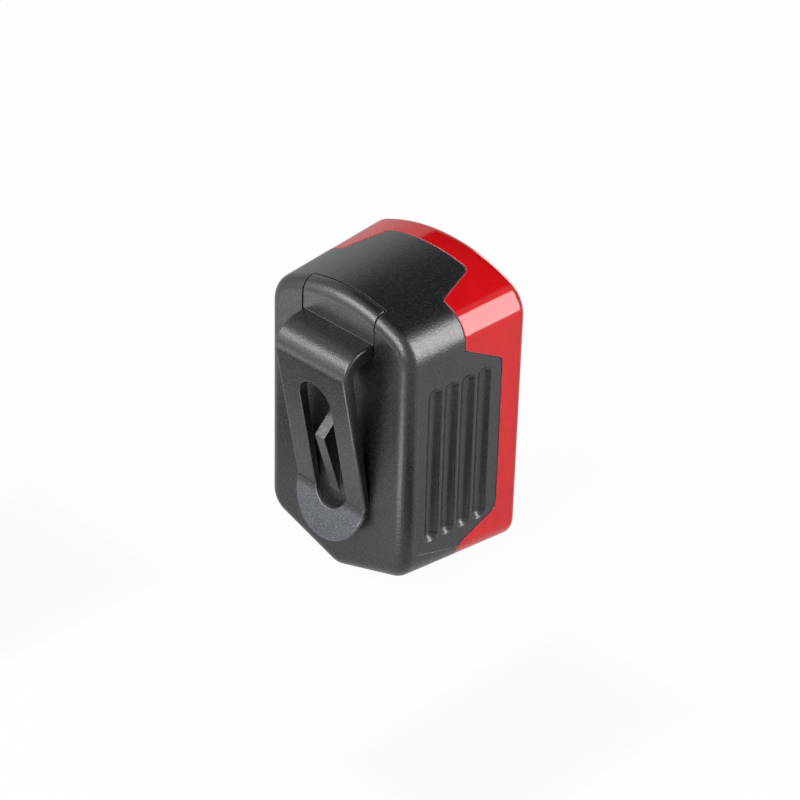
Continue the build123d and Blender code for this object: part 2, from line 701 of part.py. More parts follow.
with BuildPart() as belt_clip:
    # Root tile, flush with the body, with a head round the body's back edge
    add(envelope.part)
    with BuildSketch(depth_plane(0)):
        with Locations((0, leg_underside)):
            Rectangle(2 * CLIP_HALF_WIDTH, span, align=(Align.CENTER, Align.MIN))
    extrude(amount=TILE_HEAD_DEPTH, mode=Mode.INTERSECT)
    with BuildSketch(depth_plane(TILE_THICKNESS)):
        with Locations((0, tile_head_height)):
            Rectangle(2 * CLIP_HALF_WIDTH, span, align=(Align.CENTER, Align.MAX))
    extrude(amount=TILE_HEAD_DEPTH, mode=Mode.SUBTRACT)
    tile_skin = belt_clip.faces().filter_by(
        lambda face: face.normal_at().Y > FACING_SHARE or face.normal_at().Z > FACING_SHARE
    ).edges()
    tile_walls = belt_clip.faces().filter_by(
        lambda face: abs(face.normal_at().X) > 1 - FLAT_SHARE
        or face.normal_at().Y < FLAT_SHARE - 1
    ).edges()
    fillet(tile_walls.filter_by(lambda edge: edge in tile_skin), TILE_EDGE_ROUND)
    # Two hooks under the crown's skin
    with BuildSketch(depth_plane(TILE_HEAD_DEPTH - OVERRUN)):
        with Locations(*[(side * HOOK_OFFSET, crest_height - HOOK_DROP) for side in (-1, 1)]):
            Rectangle(HOOK_WIDTH, HOOK_HEIGHT)
    extrude(amount=OVERRUN + HOOK_REACH)
    add(arm_block.part)
    # Long slot over the wedge catch
    slot_top = crest_height - SLOT_TOP_DROP
    slot_bottom = keel_height + SLOT_BOTTOM_RISE
    with BuildSketch(depth_plane(0)):
        with Locations((0, (slot_top + slot_bottom) / 2)):
            SlotOverall(slot_top - slot_bottom, 2 * SLOT_HALF_WIDTH, rotation=90)
    extrude(amount=-span, mode=Mode.SUBTRACT)
    slot_rims = belt_clip.edges(Select.LAST).filter_by(
        lambda edge: edge in belt_clip.faces().filter_by(
            lambda face: face.normal_at().Y > FACING_SHARE
        ).edges()
    )
    fillet(slot_rims, SLOT_EDGE_ROUND)
belt_clip.part.label = "belt_clip"
export_step(belt_clip.part, "parts/belt_clip.step")

# Lens cover: front shell, inner skirt, posts, button guide and optic rings
with BuildPart() as lens_cover:
    add(envelope.part)
    add(housing_zone(SEAM), mode=Mode.SUBTRACT)
    add(drafted_block(skirt_end_depth, skirt_front_depth, cover_wall))
    add(
        drafted_block(skirt_end_depth - OVERRUN, skirt_front_depth, skirt_inset),
        mode=Mode.SUBTRACT,
    )
    add(drafted_block(skirt_front_depth, cover_inner_depth, cover_wall), mode=Mode.SUBTRACT)
    with BuildSketch(depth_plane(board_front_depth)):
        with Locations(*post_centres):
            Circle(POST_RADIUS)
    extrude(amount=cover_inner_depth - board_front_depth + OVERRUN)
    with BuildSketch(depth_plane(reflector_front_depth)):
        with Locations(*post_centres):
            Circle(POST_RADIUS + POST_SHOULDER)
    extrude(amount=REFLECTOR_GAP + OVERRUN)
    with BuildSketch(depth_plane(board_front_depth)):
        with Locations(*post_centres):
            Circle(SCREW_DIAMETER / 2 + SCREW_HOLE_CLEARANCE)
    extrude(amount=SCREW_LENGTH - BOARD_THICKNESS + SCREW_TIP_ROOM, mode=Mode.SUBTRACT)
    with BuildSketch(depth_plane(cover_inner_depth - GUIDE_LENGTH)):
        with Locations(button_centre):
            Circle(guide_radius + GUIDE_WALL)
            Circle(guide_radius, mode=Mode.SUBTRACT)
    extrude(amount=GUIDE_LENGTH + OVERRUN)
    with BuildSketch(depth_plane(cover_inner_depth - OVERRUN)):
        with Locations(button_centre):
            Circle(BUTTON_RADIUS + BUTTON_CLEARANCE)
    extrude(amount=cover_wall + 2 * OVERRUN, mode=Mode.SUBTRACT)
    ring_pitch = (CENTRE_BOWL_RADIUS - OPTIC_CORE_RADIUS) / OPTIC_RING_COUNT
    with BuildSketch(Plane.XY.offset(centre_led_height)):
        for index in range(OPTIC_RING_COUNT):
            inner = OPTIC_CORE_RADIUS + index * ring_pitch
            with BuildLine():
                Polyline(
                    (inner, -cover_inner_depth - OVERRUN),
                    (inner, -cover_inner_depth + OPTIC_RING_HEIGHT),
                    (inner + ring_pitch, -cover_inner_depth),
                    (inner + ring_pitch, -cover_inner_depth - OVERRUN),
                    close=True,
                )
            make_face()
        with BuildLine():
            Line((0, -cover_inner_depth - OVERRUN), (0, -cover_inner_depth + OPTIC_RING_HEIGHT))
            ThreePointArc(
                (0, -cover_inner_depth + OPTIC_RING_HEIGHT),
                (
                    OPTIC_CORE_RADIUS * OPTIC_CORE_SHARES[0],
                    -cover_inner_depth + OPTIC_RING_HEIGHT * OPTIC_CORE_SHARES[1],
                ),
                (OPTIC_CORE_RADIUS, -cover_inner_depth),
            )
            Polyline(
                (OPTIC_CORE_RADIUS, -cover_inner_depth),
                (OPTIC_CORE_RADIUS, -cover_inner_depth - OVERRUN),
                (0, -cover_inner_depth - OVERRUN),
            )
        make_face()
    revolve(axis=Axis((0, 0, centre_led_height), (0, 1, 0)))
lens_cover.part.label = "lens_cover"
export_step(lens_cover.part, "parts/lens_cover.step")

# Gasket between the ledge and the skirt's end
with BuildPart() as housing_gasket:
    gasket_back = ledge_front_depth
    gasket_front = skirt_end_depth - GASKET_SEAT_GAP
    add(drafted_block(gasket_back, gasket_front, HOUSING_WALL + LAP_CLEARANCE))
    add(
        drafted_block(gasket_back - OVERRUN, gasket_front + OVERRUN, skirt_inset),
        mode=Mode.SUBTRACT,
    )
housing_gasket.part.label = "housing_gasket"
export_step(housing_gasket.part, "parts/housing_gasket.step")

# Battery cradle: tray with end walls, finger reliefs, floor windows and screw ears
with BuildPart() as battery_cradle:
    with BuildSketch(depth_plane(BACK_WALL)):
        RectangleRounded(2 * cradle_half_width, 2 * cradle_half_length, CRADLE_CORNER_RADIUS)
    extrude(amount=cradle_rim_depth - BACK_WALL)
    with BuildSketch(depth_plane(cradle_floor_depth)):
        Rectangle(2 * cradle_inner_half_width, 2 * contact_outer)
    extrude(amount=cradle_rim_depth, mode=Mode.SUBTRACT)
    relief_offset = (EAR_HALF_WIDTH + contact_outer) / 2
    with BuildSketch(depth_plane(boss_top_depth)):
        with Locations((0, -relief_offset), (0, relief_offset)):
            Rectangle(2 * cradle_half_width + OVERRUN, CRADLE_RELIEF_LENGTH / 2)
    extrude(amount=cradle_rim_depth, mode=Mode.SUBTRACT)
    with BuildSketch(depth_plane(BACK_WALL - OVERRUN)):
        with GridLocations(2 * cell_offset, 2 * relief_offset, 2, 2):
            SlotOverall(CRADLE_WINDOW_LENGTH, CRADLE_WINDOW_WIDTH, rotation=90)
    extrude(amount=CRADLE_FLOOR + 2 * OVERRUN, mode=Mode.SUBTRACT)
    with BuildSketch(depth_plane(cradle_floor_depth - CRADLE_FLOOR / 2)):
        Rectangle(CRADLE_WALL, 2 * cavity_half_length)
    extrude(amount=CRADLE_FLOOR / 2 + CELL_CLEARANCE + CELL_GAP)
    with BuildSketch(depth_plane(boss_top_depth)):
        for side in (-1, 1):
            with Locations((side * boss_offset, 0)):
                Circle(EAR_HALF_WIDTH)
            with Locations((side * (cradle_inner_half_width + CRADLE_WALL / 2), 0)):
                Rectangle(
                    boss_offset - cradle_half_width + CRADLE_WALL / 2,
                    2 * EAR_HALF_WIDTH,
                    align=(Align.MIN if side > 0 else Align.MAX, Align.CENTER),
                )
    extrude(amount=EAR_THICKNESS)
    with BuildSketch(depth_plane(boss_top_depth - OVERRUN)):
        with Locations((-boss_offset, 0), (boss_offset, 0)):
            Circle(SCREW_DIAMETER / 2 + POST_HOLE_CLEARANCE)
    extrude(amount=EAR_THICKNESS + 2 * OVERRUN, mode=Mode.SUBTRACT)
battery_cradle.part.label = "battery_cradle"
export_step(battery_cradle.part, "parts/battery_cradle.step")

with BuildPart() as cradle_screws:
    for side in (-1, 1):
        add(pan_screw((side * boss_offset, 0), ear_depth, forwards=True))
cradle_screws.part.label = "cradle_screws"
export_step(cradle_screws.part, "parts/cradle_screws.step")


def aaa_cell(x, flat_end, climb):
    """One cell, from its flat end's height, with its nipple towards the climb."""
    shoulder = flat_end + climb * (CELL_LENGTH - CELL_NIPPLE_HEIGHT)
    with BuildPart() as cell:
        with BuildSketch(Plane.XY.offset(flat_end)):
            with Locations((x, -cell_axis_depth)):
                Circle(cell_radius)
        extrude(amount=shoulder - flat_end)
        fillet(cell.edges().filter_by(GeomType.CIRCLE), CELL_EDGE_RADIUS)
        with BuildSketch(Plane.XY.offset(shoulder)):
            with Locations((x, -cell_axis_depth)):
                Circle(CELL_NIPPLE_DIAMETER / 2)
        extrude(amount=climb * CELL_NIPPLE_HEIGHT)
    return cell


battery_left = aaa_cell(-cell_offset, -cavity_half_length + SPRING_LENGTH, 1)
battery_left.part.label = "battery_left"
export_step(battery_left.part, "parts/battery_left.step")

battery_right = aaa_cell(cell_offset, cavity_half_length - SPRING_LENGTH, -1)
battery_right.part.label = "battery_right"
export_step(battery_right.part, "parts/battery_right.step")

spring_lower = cell_spring(-cell_offset, -cavity_half_length, 1)
spring_lower.part.label = "spring_lower"
export_step(spring_lower.part, "parts/spring_lower.step")

spring_upper = cell_spring(cell_offset, cavity_half_length, -1)
spring_upper.part.label = "spring_upper"
export_step(spring_upper.part, "parts/spring_upper.step")
print("least gap between spring turns", round(least_spring_gap(), 2))

# Plate across the lower ends of both cells
contact_back = cradle_floor_depth + CONTACT_FLOOR_GAP
with BuildPart() as bridge_contact:
    with BuildSketch(Plane.XY.offset(-contact_outer)):
        with Locations((0, -contact_back)):
            Rectangle(
                2 * cell_offset + CONTACT_WIDTH,
                cradle_rim_depth - contact_back,
                align=(Align.CENTER, Align.MAX),
            )
    extrude(amount=CONTACT_THICKNESS)
bridge_contact.part.label = "bridge_contact"
export_step(bridge_contact.part, "parts/bridge_contact.step")


def upper_contact(x):
    """A plate behind a cell's upper end, with a tab turned up to face the lens."""
    with BuildPart() as contact:
        with BuildSketch(Plane.XY.offset(cavity_half_length)):
            with Locations((x, -contact_back)):
                Rectangle(
                    CONTACT_WIDTH,
                    cradle_rim_depth - contact_back,
                    align=(Align.CENTER, Align.MAX),
                )
                Rectangle(
                    CONTACT_TAB_WIDTH,
                    cell_front_depth - contact_back,
                    align=(Align.CENTER, Align.MAX),
                )
        extrude(amount=CONTACT_THICKNESS)
        with BuildSketch(depth_plane(cell_front_depth)):
            with Locations((x, cavity_half_length)):
                Rectangle(
                    CONTACT_TAB_WIDTH,
                    CONTACT_THICKNESS + CONTACT_TAB_HEIGHT,
                    align=(Align.CENTER, Align.MIN),
                )
        extrude(amount=-CONTACT_THICKNESS)
    return contact


positive_contact = upper_contact(-cell_offset)
positive_contact.part.label = "positive_contact"
export_step(positive_contact.part, "parts/positive_contact.step")

negative_contact = upper_contact(cell_offset)
negative_contact.part.label = "negative_contact"
export_step(negative_contact.part, "parts/negative_contact.step")

# Leaf blades from the board's back to the tabs
tab_top = contact_outer + CONTACT_TAB_HEIGHT
blade_depth = cell_front_depth + BLADE_CONTACT_GAP
blade_foot_depth = board_back_depth - BLADE_THICKNESS
blade_bend = tab_top - CONTACT_TAB_HEIGHT
blade_knee = blade_bend - CONTACT_TAB_HEIGHT
with BuildPart() as contact_blades:
    for side in (-1, 1):
        with BuildSketch(Plane.YZ.offset(side * cell_offset - BLADE_WIDTH / 2)):
            with BuildLine():
                Polyline(
                    (-blade_depth, tab_top),
                    (-blade_depth, blade_bend),
                    (-blade_foot_depth, blade_knee),
                    (-blade_foot_depth, blade_knee - BLADE_FOOT),
                    (-board_back_depth, blade_knee - BLADE_FOOT),
                    (-board_back_depth, blade_knee),
                    (-blade_depth - BLADE_THICKNESS, blade_bend),
                    (-blade_depth - BLADE_THICKNESS, tab_top),
                    close=True,
                )
            make_face()
        extrude(amount=BLADE_WIDTH)
contact_blades.part.label = "contact_blades"
export_step(contact_blades.part, "parts/contact_blades.step")

# Circuit board in the skirt, on the cover's posts
with BuildPart() as circuit_board:
    extrude(
        to_extrude=shield(board_back_depth, skirt_inset + BOARD_EDGE_GAP),
        amount=BOARD_THICKNESS,
    )
    with BuildSketch(depth_plane(board_back_depth - OVERRUN)):
        with Locations(*post_centres):
            Circle(SCREW_DIAMETER / 2 + POST_HOLE_CLEARANCE)
    extrude(amount=BOARD_THICKNESS + 2 * OVERRUN, mode=Mode.SUBTRACT)
circuit_board.part.label = "circuit_board"
export_step(circuit_board.part, "parts/circuit_board.step")

with BuildPart() as board_screws:
    for centre in post_centres:
        add(pan_screw(centre, board_back_depth, forwards=False))
board_screws.part.label = "board_screws"
export_step(board_screws.part, "parts/board_screws.step")

with BuildPart() as controller_chip:
    with BuildSketch(depth_plane(board_back_depth)):
        with Locations((0, chip_height)):
            Rectangle(CHIP_SIZE, CHIP_SIZE)
    extrude(amount=-CHIP_HEIGHT)
    chamfer(controller_chip.faces().sort_by(Axis.Y)[-1].edges(), CHIP_BEVEL)
controller_chip.part.label = "controller_chip"
export_step(controller_chip.part, "parts/controller_chip.step")

with BuildPart() as board_components:
    with BuildSketch(depth_plane(board_back_depth)):
        with Locations((-CAPACITOR_SPREAD, 0), (CAPACITOR_SPREAD, 0)):
            Circle(CAPACITOR_RADIUS)
    extrude(amount=-CAPACITOR_HEIGHT)
    fillet(board_components.edges().group_by(Axis.Y)[-1], CAPACITOR_ROUND)
    with BuildSketch(depth_plane(board_back_depth)):
        with Locations((0, chip_height - CHIP_SIZE)):
            with GridLocations(RESISTOR_SPACING, RESISTOR_SPACING, RESISTOR_COUNT, 1):
                Rectangle(RESISTOR_WIDTH, RESISTOR_LENGTH)
    extrude(amount=-RESISTOR_HEIGHT)
board_components.part.label = "board_components"
export_step(board_components.part, "parts/board_components.step")


def emitter(centre, size):
    """A square emitter on the board's front, with its dome."""
    x, z = centre
    base_front = board_front_depth + LED_BASE_HEIGHT
    dome = size * LED_DOME_SHARE
    with BuildPart() as led:
        with BuildSketch(depth_plane(board_front_depth)):
            with Locations(centre):
                Rectangle(size, size)
        extrude(amount=LED_BASE_HEIGHT)
        with BuildSketch(Plane.XY.offset(z)):
            with BuildLine():
                CenterArc((x, -base_front), dome, -90, 90)
                Line((x + dome, -base_front), (x, -base_front))
                Line((x, -base_front), (x, -base_front - dome))
            make_face()
        revolve(axis=Axis((x, 0, z), (0, 1, 0)))
    return led


led_centre = emitter(led_centres["led_centre"], LED_SIZE)
led_centre.part.label = "led_centre"
export_step(led_centre.part, "parts/led_centre.step")

led_left = emitter(led_centres["led_left"], SIDE_LED_SIZE)
led_left.part.label = "led_left"
export_step(led_left.part, "parts/led_left.step")

led_right = emitter(led_centres["led_right"], SIDE_LED_SIZE)
led_right.part.label = "led_right"
export_step(led_right.part, "parts/led_right.step")

# Reflector: one plate with three bowls behind the cover's front
bowls = [
    (led_centres["led_centre"], CENTRE_BOWL_RADIUS, LED_SIZE),
    (led_centres["led_left"], SIDE_BOWL_RADIUS, SIDE_LED_SIZE),
    (led_centres["led_right"], SIDE_BOWL_RADIUS, SIDE_LED_SIZE),
]
with BuildPart() as reflector:
    extrude(
        to_extrude=shield(reflector_back_depth, skirt_inset + REFLECTOR_EDGE_GAP),
        amount=REFLECTOR_PLATE,
    )
    with BuildSketch(depth_plane(reflector_back_depth - OVERRUN)):
        for centre, rim, size in bowls:
            with Locations(centre):
                Circle(rim)
        with Locations(*post_centres):
            Circle(POST_RADIUS + POST_HOLE_CLEARANCE)
        with Locations(button_centre):
            Circle(guide_radius)
    extrude(amount=REFLECTOR_PLATE + 2 * OVERRUN, mode=Mode.SUBTRACT)
    throat_depth = board_front_depth + REFLECTOR_LIFT
    for (x, z), rim, size in bowls:
        throat = size / math.sqrt(2) + BOWL_THROAT_GAP
        bulge = throat + (rim - throat) * BOWL_BULGE_SHARES[0]
        bulge_depth = throat_depth + (reflector_front_depth - throat_depth) * BOWL_BULGE_SHARES[1]
        with BuildSketch(Plane.XY.offset(z)):
            with BuildLine():
                ThreePointArc(
                    (x + throat, -throat_depth),
                    (x + bulge, -bulge_depth),
                    (x + rim, -reflector_front_depth),
                )
                Line(
                    (x + rim, -reflector_front_depth),
                    (x + rim + BOWL_WALL, -reflector_front_depth),
                )
                ThreePointArc(
                    (x + rim + BOWL_WALL, -reflector_front_depth),
                    (x + bulge + BOWL_WALL, -bulge_depth),
                    (x + throat + BOWL_WALL, -throat_depth),
                )
                Line((x + throat + BOWL_WALL, -throat_depth), (x + throat, -throat_depth))
            make_face()
        revolve(axis=Axis((x, 0, z), (0, 1, 0)))
reflector.part.label = "reflector"
export_step(reflector.part, "parts/reflector.step")

# Push switch on the board, with its plunger
switch_front_depth = board_front_depth + SWITCH_HEIGHT
plunger_back_depth = switch_front_depth - PLUNGER_BURIED
plunger_front_depth = switch_front_depth + PLUNGER_OUT
with BuildPart() as tact_switch:
    with BuildSketch(depth_plane(board_front_depth)):
        with Locations(button_centre):
            Rectangle(SWITCH_SIZE, SWITCH_SIZE)
    extrude(amount=SWITCH_HEIGHT)
    with BuildSketch(depth_plane(plunger_back_depth - BUTTON_TRAVEL - LAP_CLEARANCE)):
        with Locations(button_centre):
            Circle(PLUNGER_RADIUS + PLUNGER_CLEARANCE)
    extrude(amount=SWITCH_HEIGHT, mode=Mode.SUBTRACT)
tact_switch.part.label = "tact_switch"
export_step(tact_switch.part, "parts/tact_switch.step")

with BuildPart() as switch_plunger:
    with BuildSketch(depth_plane(plunger_back_depth)):
        with Locations(button_centre):
            Circle(PLUNGER_RADIUS)
    extrude(amount=plunger_front_depth - plunger_back_depth)
switch_plunger.part.label = "switch_plunger"
export_step(switch_plunger.part, "parts/switch_plunger.step")

# Push button: dished cap, retaining flange and stem
flange_front_depth = cover_inner_depth - BUTTON_FLANGE_GAP
flange_back_depth = flange_front_depth - BUTTON_FLANGE_THICKNESS
button_front_depth = body_depth + BUTTON_PROUD
with BuildPart() as push_button:
    with BuildSketch(depth_plane(flange_back_depth)):
        with Locations(button_centre):
            Circle(BUTTON_RADIUS)
    extrude(amount=button_front_depth - flange_back_depth)
    fillet(push_button.edges().sort_by(Axis.Y)[0], BUTTON_EDGE_ROUND)
    with Locations(
        (0, -(button_front_depth - BUTTON_DISH_CUT + BUTTON_DISH_RADIUS), button_height)
    ):
        Sphere(BUTTON_DISH_RADIUS, mode=Mode.SUBTRACT)
    with BuildSketch(depth_plane(flange_back_depth)):
        with Locations(button_centre):
            Circle(BUTTON_RADIUS + BUTTON_FLANGE_LIP)
    extrude(amount=BUTTON_FLANGE_THICKNESS)
    with BuildSketch(depth_plane(plunger_front_depth)):
        with Locations(button_centre):
            Circle(BUTTON_STEM_RADIUS)
    extrude(amount=flange_back_depth - plunger_front_depth + BUTTON_FLANGE_THICKNESS / 2)
push_button.part.label = "push_button"
export_step(push_button.part, "parts/push_button.step")
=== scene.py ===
"""Bike rear light with a belt clip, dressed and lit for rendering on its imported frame.

The frame's origin is on the lamp's back face at the height of the wedge catch's crest. X runs across the
lamp, the lens faces -Y, the clip stands off towards +Y and Z is up. All lengths here are in metres.
"""

from __future__ import annotations

import logging
import math
from dataclasses import dataclass, field
from enum import Enum
from functools import cache

import bmesh
import bpy
from mathutils import Matrix, Vector


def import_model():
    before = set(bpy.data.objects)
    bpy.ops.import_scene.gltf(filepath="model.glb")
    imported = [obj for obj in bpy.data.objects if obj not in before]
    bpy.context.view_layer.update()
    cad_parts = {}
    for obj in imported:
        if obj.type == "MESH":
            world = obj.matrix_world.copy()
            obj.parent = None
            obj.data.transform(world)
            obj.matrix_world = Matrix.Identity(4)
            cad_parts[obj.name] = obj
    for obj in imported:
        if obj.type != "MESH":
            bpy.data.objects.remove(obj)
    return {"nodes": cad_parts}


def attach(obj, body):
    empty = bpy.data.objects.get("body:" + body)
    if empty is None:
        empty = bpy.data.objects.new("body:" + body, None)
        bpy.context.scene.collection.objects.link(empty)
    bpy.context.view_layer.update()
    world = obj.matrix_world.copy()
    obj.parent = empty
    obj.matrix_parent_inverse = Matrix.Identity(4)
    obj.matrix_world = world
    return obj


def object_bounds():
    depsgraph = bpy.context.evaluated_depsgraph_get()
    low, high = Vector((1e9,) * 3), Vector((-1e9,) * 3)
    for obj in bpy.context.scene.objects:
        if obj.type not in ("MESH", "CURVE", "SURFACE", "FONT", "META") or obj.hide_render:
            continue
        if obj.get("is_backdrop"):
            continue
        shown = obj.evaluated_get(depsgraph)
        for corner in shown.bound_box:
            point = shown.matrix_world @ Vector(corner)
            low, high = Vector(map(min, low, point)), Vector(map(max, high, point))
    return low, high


LOG = logging.getLogger("rear_light")
MM = 0.001
BUTTON_HEIGHT = -14.5 * MM
SEAM = 0.05 * MM
Colour = tuple[float, float, float, float]
Place = tuple[float, float, float]
Pair = tuple[float, float]
Parts = dict[str, bpy.types.Object]
Material = bpy.types.Material
Socket = bpy.types.NodeSocket
STEEL: Colour = (0.6, 0.6, 0.61, 1.0)


class Body(Enum):
    """The lamp's rigid bodies, by their names in the frame."""

    HOUSING = "housing"
    CLIP = "clip"
    COVER = "cover"
    BUTTON = "button"


class Axis(Enum):
    """The frame's axes, by their places in a vector."""

    X = 0
    Y = 1
    Z = 2


def srgb(red: int, green: int, blue: int) -> Colour:
    """A colour as it looks on screen, made linear.

    Args:
        red: Red, from 0 to 255.
        green: Green, from 0 to 255.
        blue: Blue, from 0 to 255.

    Returns:
        The linear colour with an alpha of 1.
    """
    linear = []
    for level in (red, green, blue):
        share = level / 255
        linear.append(share / 12.92 if share <= 0.04045 else ((share + 0.055) / 1.055) ** 2.4)
    return (linear[0], linear[1], linear[2], 1.0)


def toned(colour: Colour, factor: float) -> Colour:
    """A colour made darker or lighter.

    Args:
        colour: The linear colour.
        factor: What its three levels are multiplied by.

    Returns:
        The new colour, kept within 1.
    """
    red, green, blue = (min(1.0, level * factor) for level in colour[:3])
    return (red, green, blue, 1.0)


class Nodes:
    """A node tree being filled, with short calls for making and joining nodes."""

    def __init__(self, tree: bpy.types.NodeTree) -> None:
        """Keeps the material's or group's node tree."""
        self.tree = tree

    def add(self, kind: str, **values: object) -> bpy.types.Node:
        """Makes a node and sets its properties.

        Args:
            kind: The node's Blender type.
            **values: Properties to set on the node.

        Returns:
            The new node.
        """
        node = self.tree.nodes.new(kind)
        for name, value in values.items():
            setattr(node, name, value)
        return node

    def join(self, source: Socket, target: Socket) -> None:
        """Links an output to an input."""
        self.tree.links.new(source, target)

    def feed(self, slot: Socket, value: object) -> None:
        """Links a socket to an input, or sets the input's own value.

        Args:
            slot: The input.
            value: A socket, or a plain value.
        """
        if isinstance(value, Socket):
            self.join(value, slot)
        else:
            slot.default_value = value

    def math(self, operation: str, first: object, second: object = 0.5) -> Socket:
        """A Math node on sockets or plain numbers.

        Args:
            operation: The Math node's operation.
            first: A socket or number.
            second: A socket or number.

        Returns:
            The node's output.
        """
        node = self.add("ShaderNodeMath", operation=operation)
        self.feed(node.inputs[0], first)
        self.feed(node.inputs[1], second)
        return node.outputs[0]

    def times(self, first: object, second: object) -> Socket:
        """The product of two sockets or numbers."""
        return self.math("MULTIPLY", first, second)

    def plus(self, first: object, second: object) -> Socket:
        """The sum of two sockets or numbers."""
        return self.math("ADD", first, second)

    def ramp(self, value: Socket, low: float, high: float, start: float = 0.0, end: float = 1.0) -> Socket:
        """A clamped Map Range node.

        Args:
            value: The socket to map.
            low: The input that gives start.
            high: The input that gives end.
            start: The first output.
            end: The last output.

        Returns:
            The mapped value.
        """
        node = self.add("ShaderNodeMapRange")
        self.join(value, node.inputs["Value"])
        for name, number in (("From Min", low), ("From Max", high), ("To Min", start), ("To Max", end)):
            node.inputs[name].default_value = number
        return node.outputs["Result"]

    def blend(self, share: object, first: object, second: object) -> Socket:
        """Mixes two colours.

        Args:
            share: How much of the second colour shows.
            first: A socket or colour.
            second: A socket or colour.

        Returns:
            The mixed colour.
        """
        node = self.add("ShaderNodeMix", data_type="RGBA")
        self.feed(node.inputs["Factor"], share)
        for name, value in (("A", first), ("B", second)):
            self.feed(next(s for s in node.inputs if s.name == name and s.type == "RGBA"), value)
        return next(s for s in node.outputs if s.type == "RGBA")

    def noise(self, place: Socket, scale: object, detail: float = 2.0) -> Socket:
        """A noise texture's grey output.

        Args:
            place: The coordinates.
            scale: Waves per metre, as a number or socket.
            detail: How many finer layers it has.

        Returns:
            The noise, from 0 to 1.
        """
        node = self.add("ShaderNodeTexNoise")
        node.inputs["Detail"].default_value = detail
        self.feed(node.inputs["Scale"], scale)
        self.join(place, node.inputs["Vector"])
        return node.outputs["Fac"]

    def parts(self, place: Socket) -> tuple[Socket, ...]:
        """Takes a vector apart.

        Args:
            place: The vector.

        Returns:
            Its reach along X, Y and Z.
        """
        node = self.add("ShaderNodeSeparateXYZ")
        self.join(place, node.inputs[0])
        return tuple(node.outputs)

    def level(self, place: Socket, axis: Axis) -> Socket:
        """How far a vector reaches along one of the frame's axes."""
        return self.parts(place)[axis.value]

    def stretched(self, place: Socket, scale: Place) -> Socket:
        """Multiplies coordinates along each axis.

        Args:
            place: The coordinates.
            scale: The factor along X, Y and Z.

        Returns:
            The new coordinates.
        """
        node = self.add("ShaderNodeMapping")
        node.inputs["Scale"].default_value = scale
        self.join(place, node.inputs["Vector"])
        return node.outputs[0]

    def away(self, place: Socket, centre: Place, along: Axis) -> Socket:
        """The distance from a line that runs along one of the frame's axes.

        Args:
            place: The coordinates.
            centre: A point on the line.
            along: The line's direction.

        Returns:
            The distance in metres.
        """
        flat = [0.0 if axis is along else 1.0 for axis in Axis]
        shift = self.add("ShaderNodeVectorMath", operation="SUBTRACT")
        self.join(place, shift.inputs[0])
        shift.inputs[1].default_value = centre
        press = self.add("ShaderNodeVectorMath", operation="MULTIPLY")
        self.join(shift.outputs[0], press.inputs[0])
        press.inputs[1].default_value = flat
        reach = self.add("ShaderNodeVectorMath", operation="LENGTH")
        self.join(press.outputs[0], reach.inputs[0])
        return reach.outputs["Value"]

    def nearest(self, place: Socket, centres: tuple[Place, ...], along: Axis) -> Socket:
        """The distance from the nearest of some lines that run along one axis.

        Args:
            place: The coordinates.
            centres: A point on each line.
            along: The lines' direction.

        Returns:
            The distance in metres.
        """
        distance = self.away(place, centres[0], along)
        for centre in centres[1:]:
            distance = self.math("MINIMUM", distance, self.away(place, centre, along))
        return distance


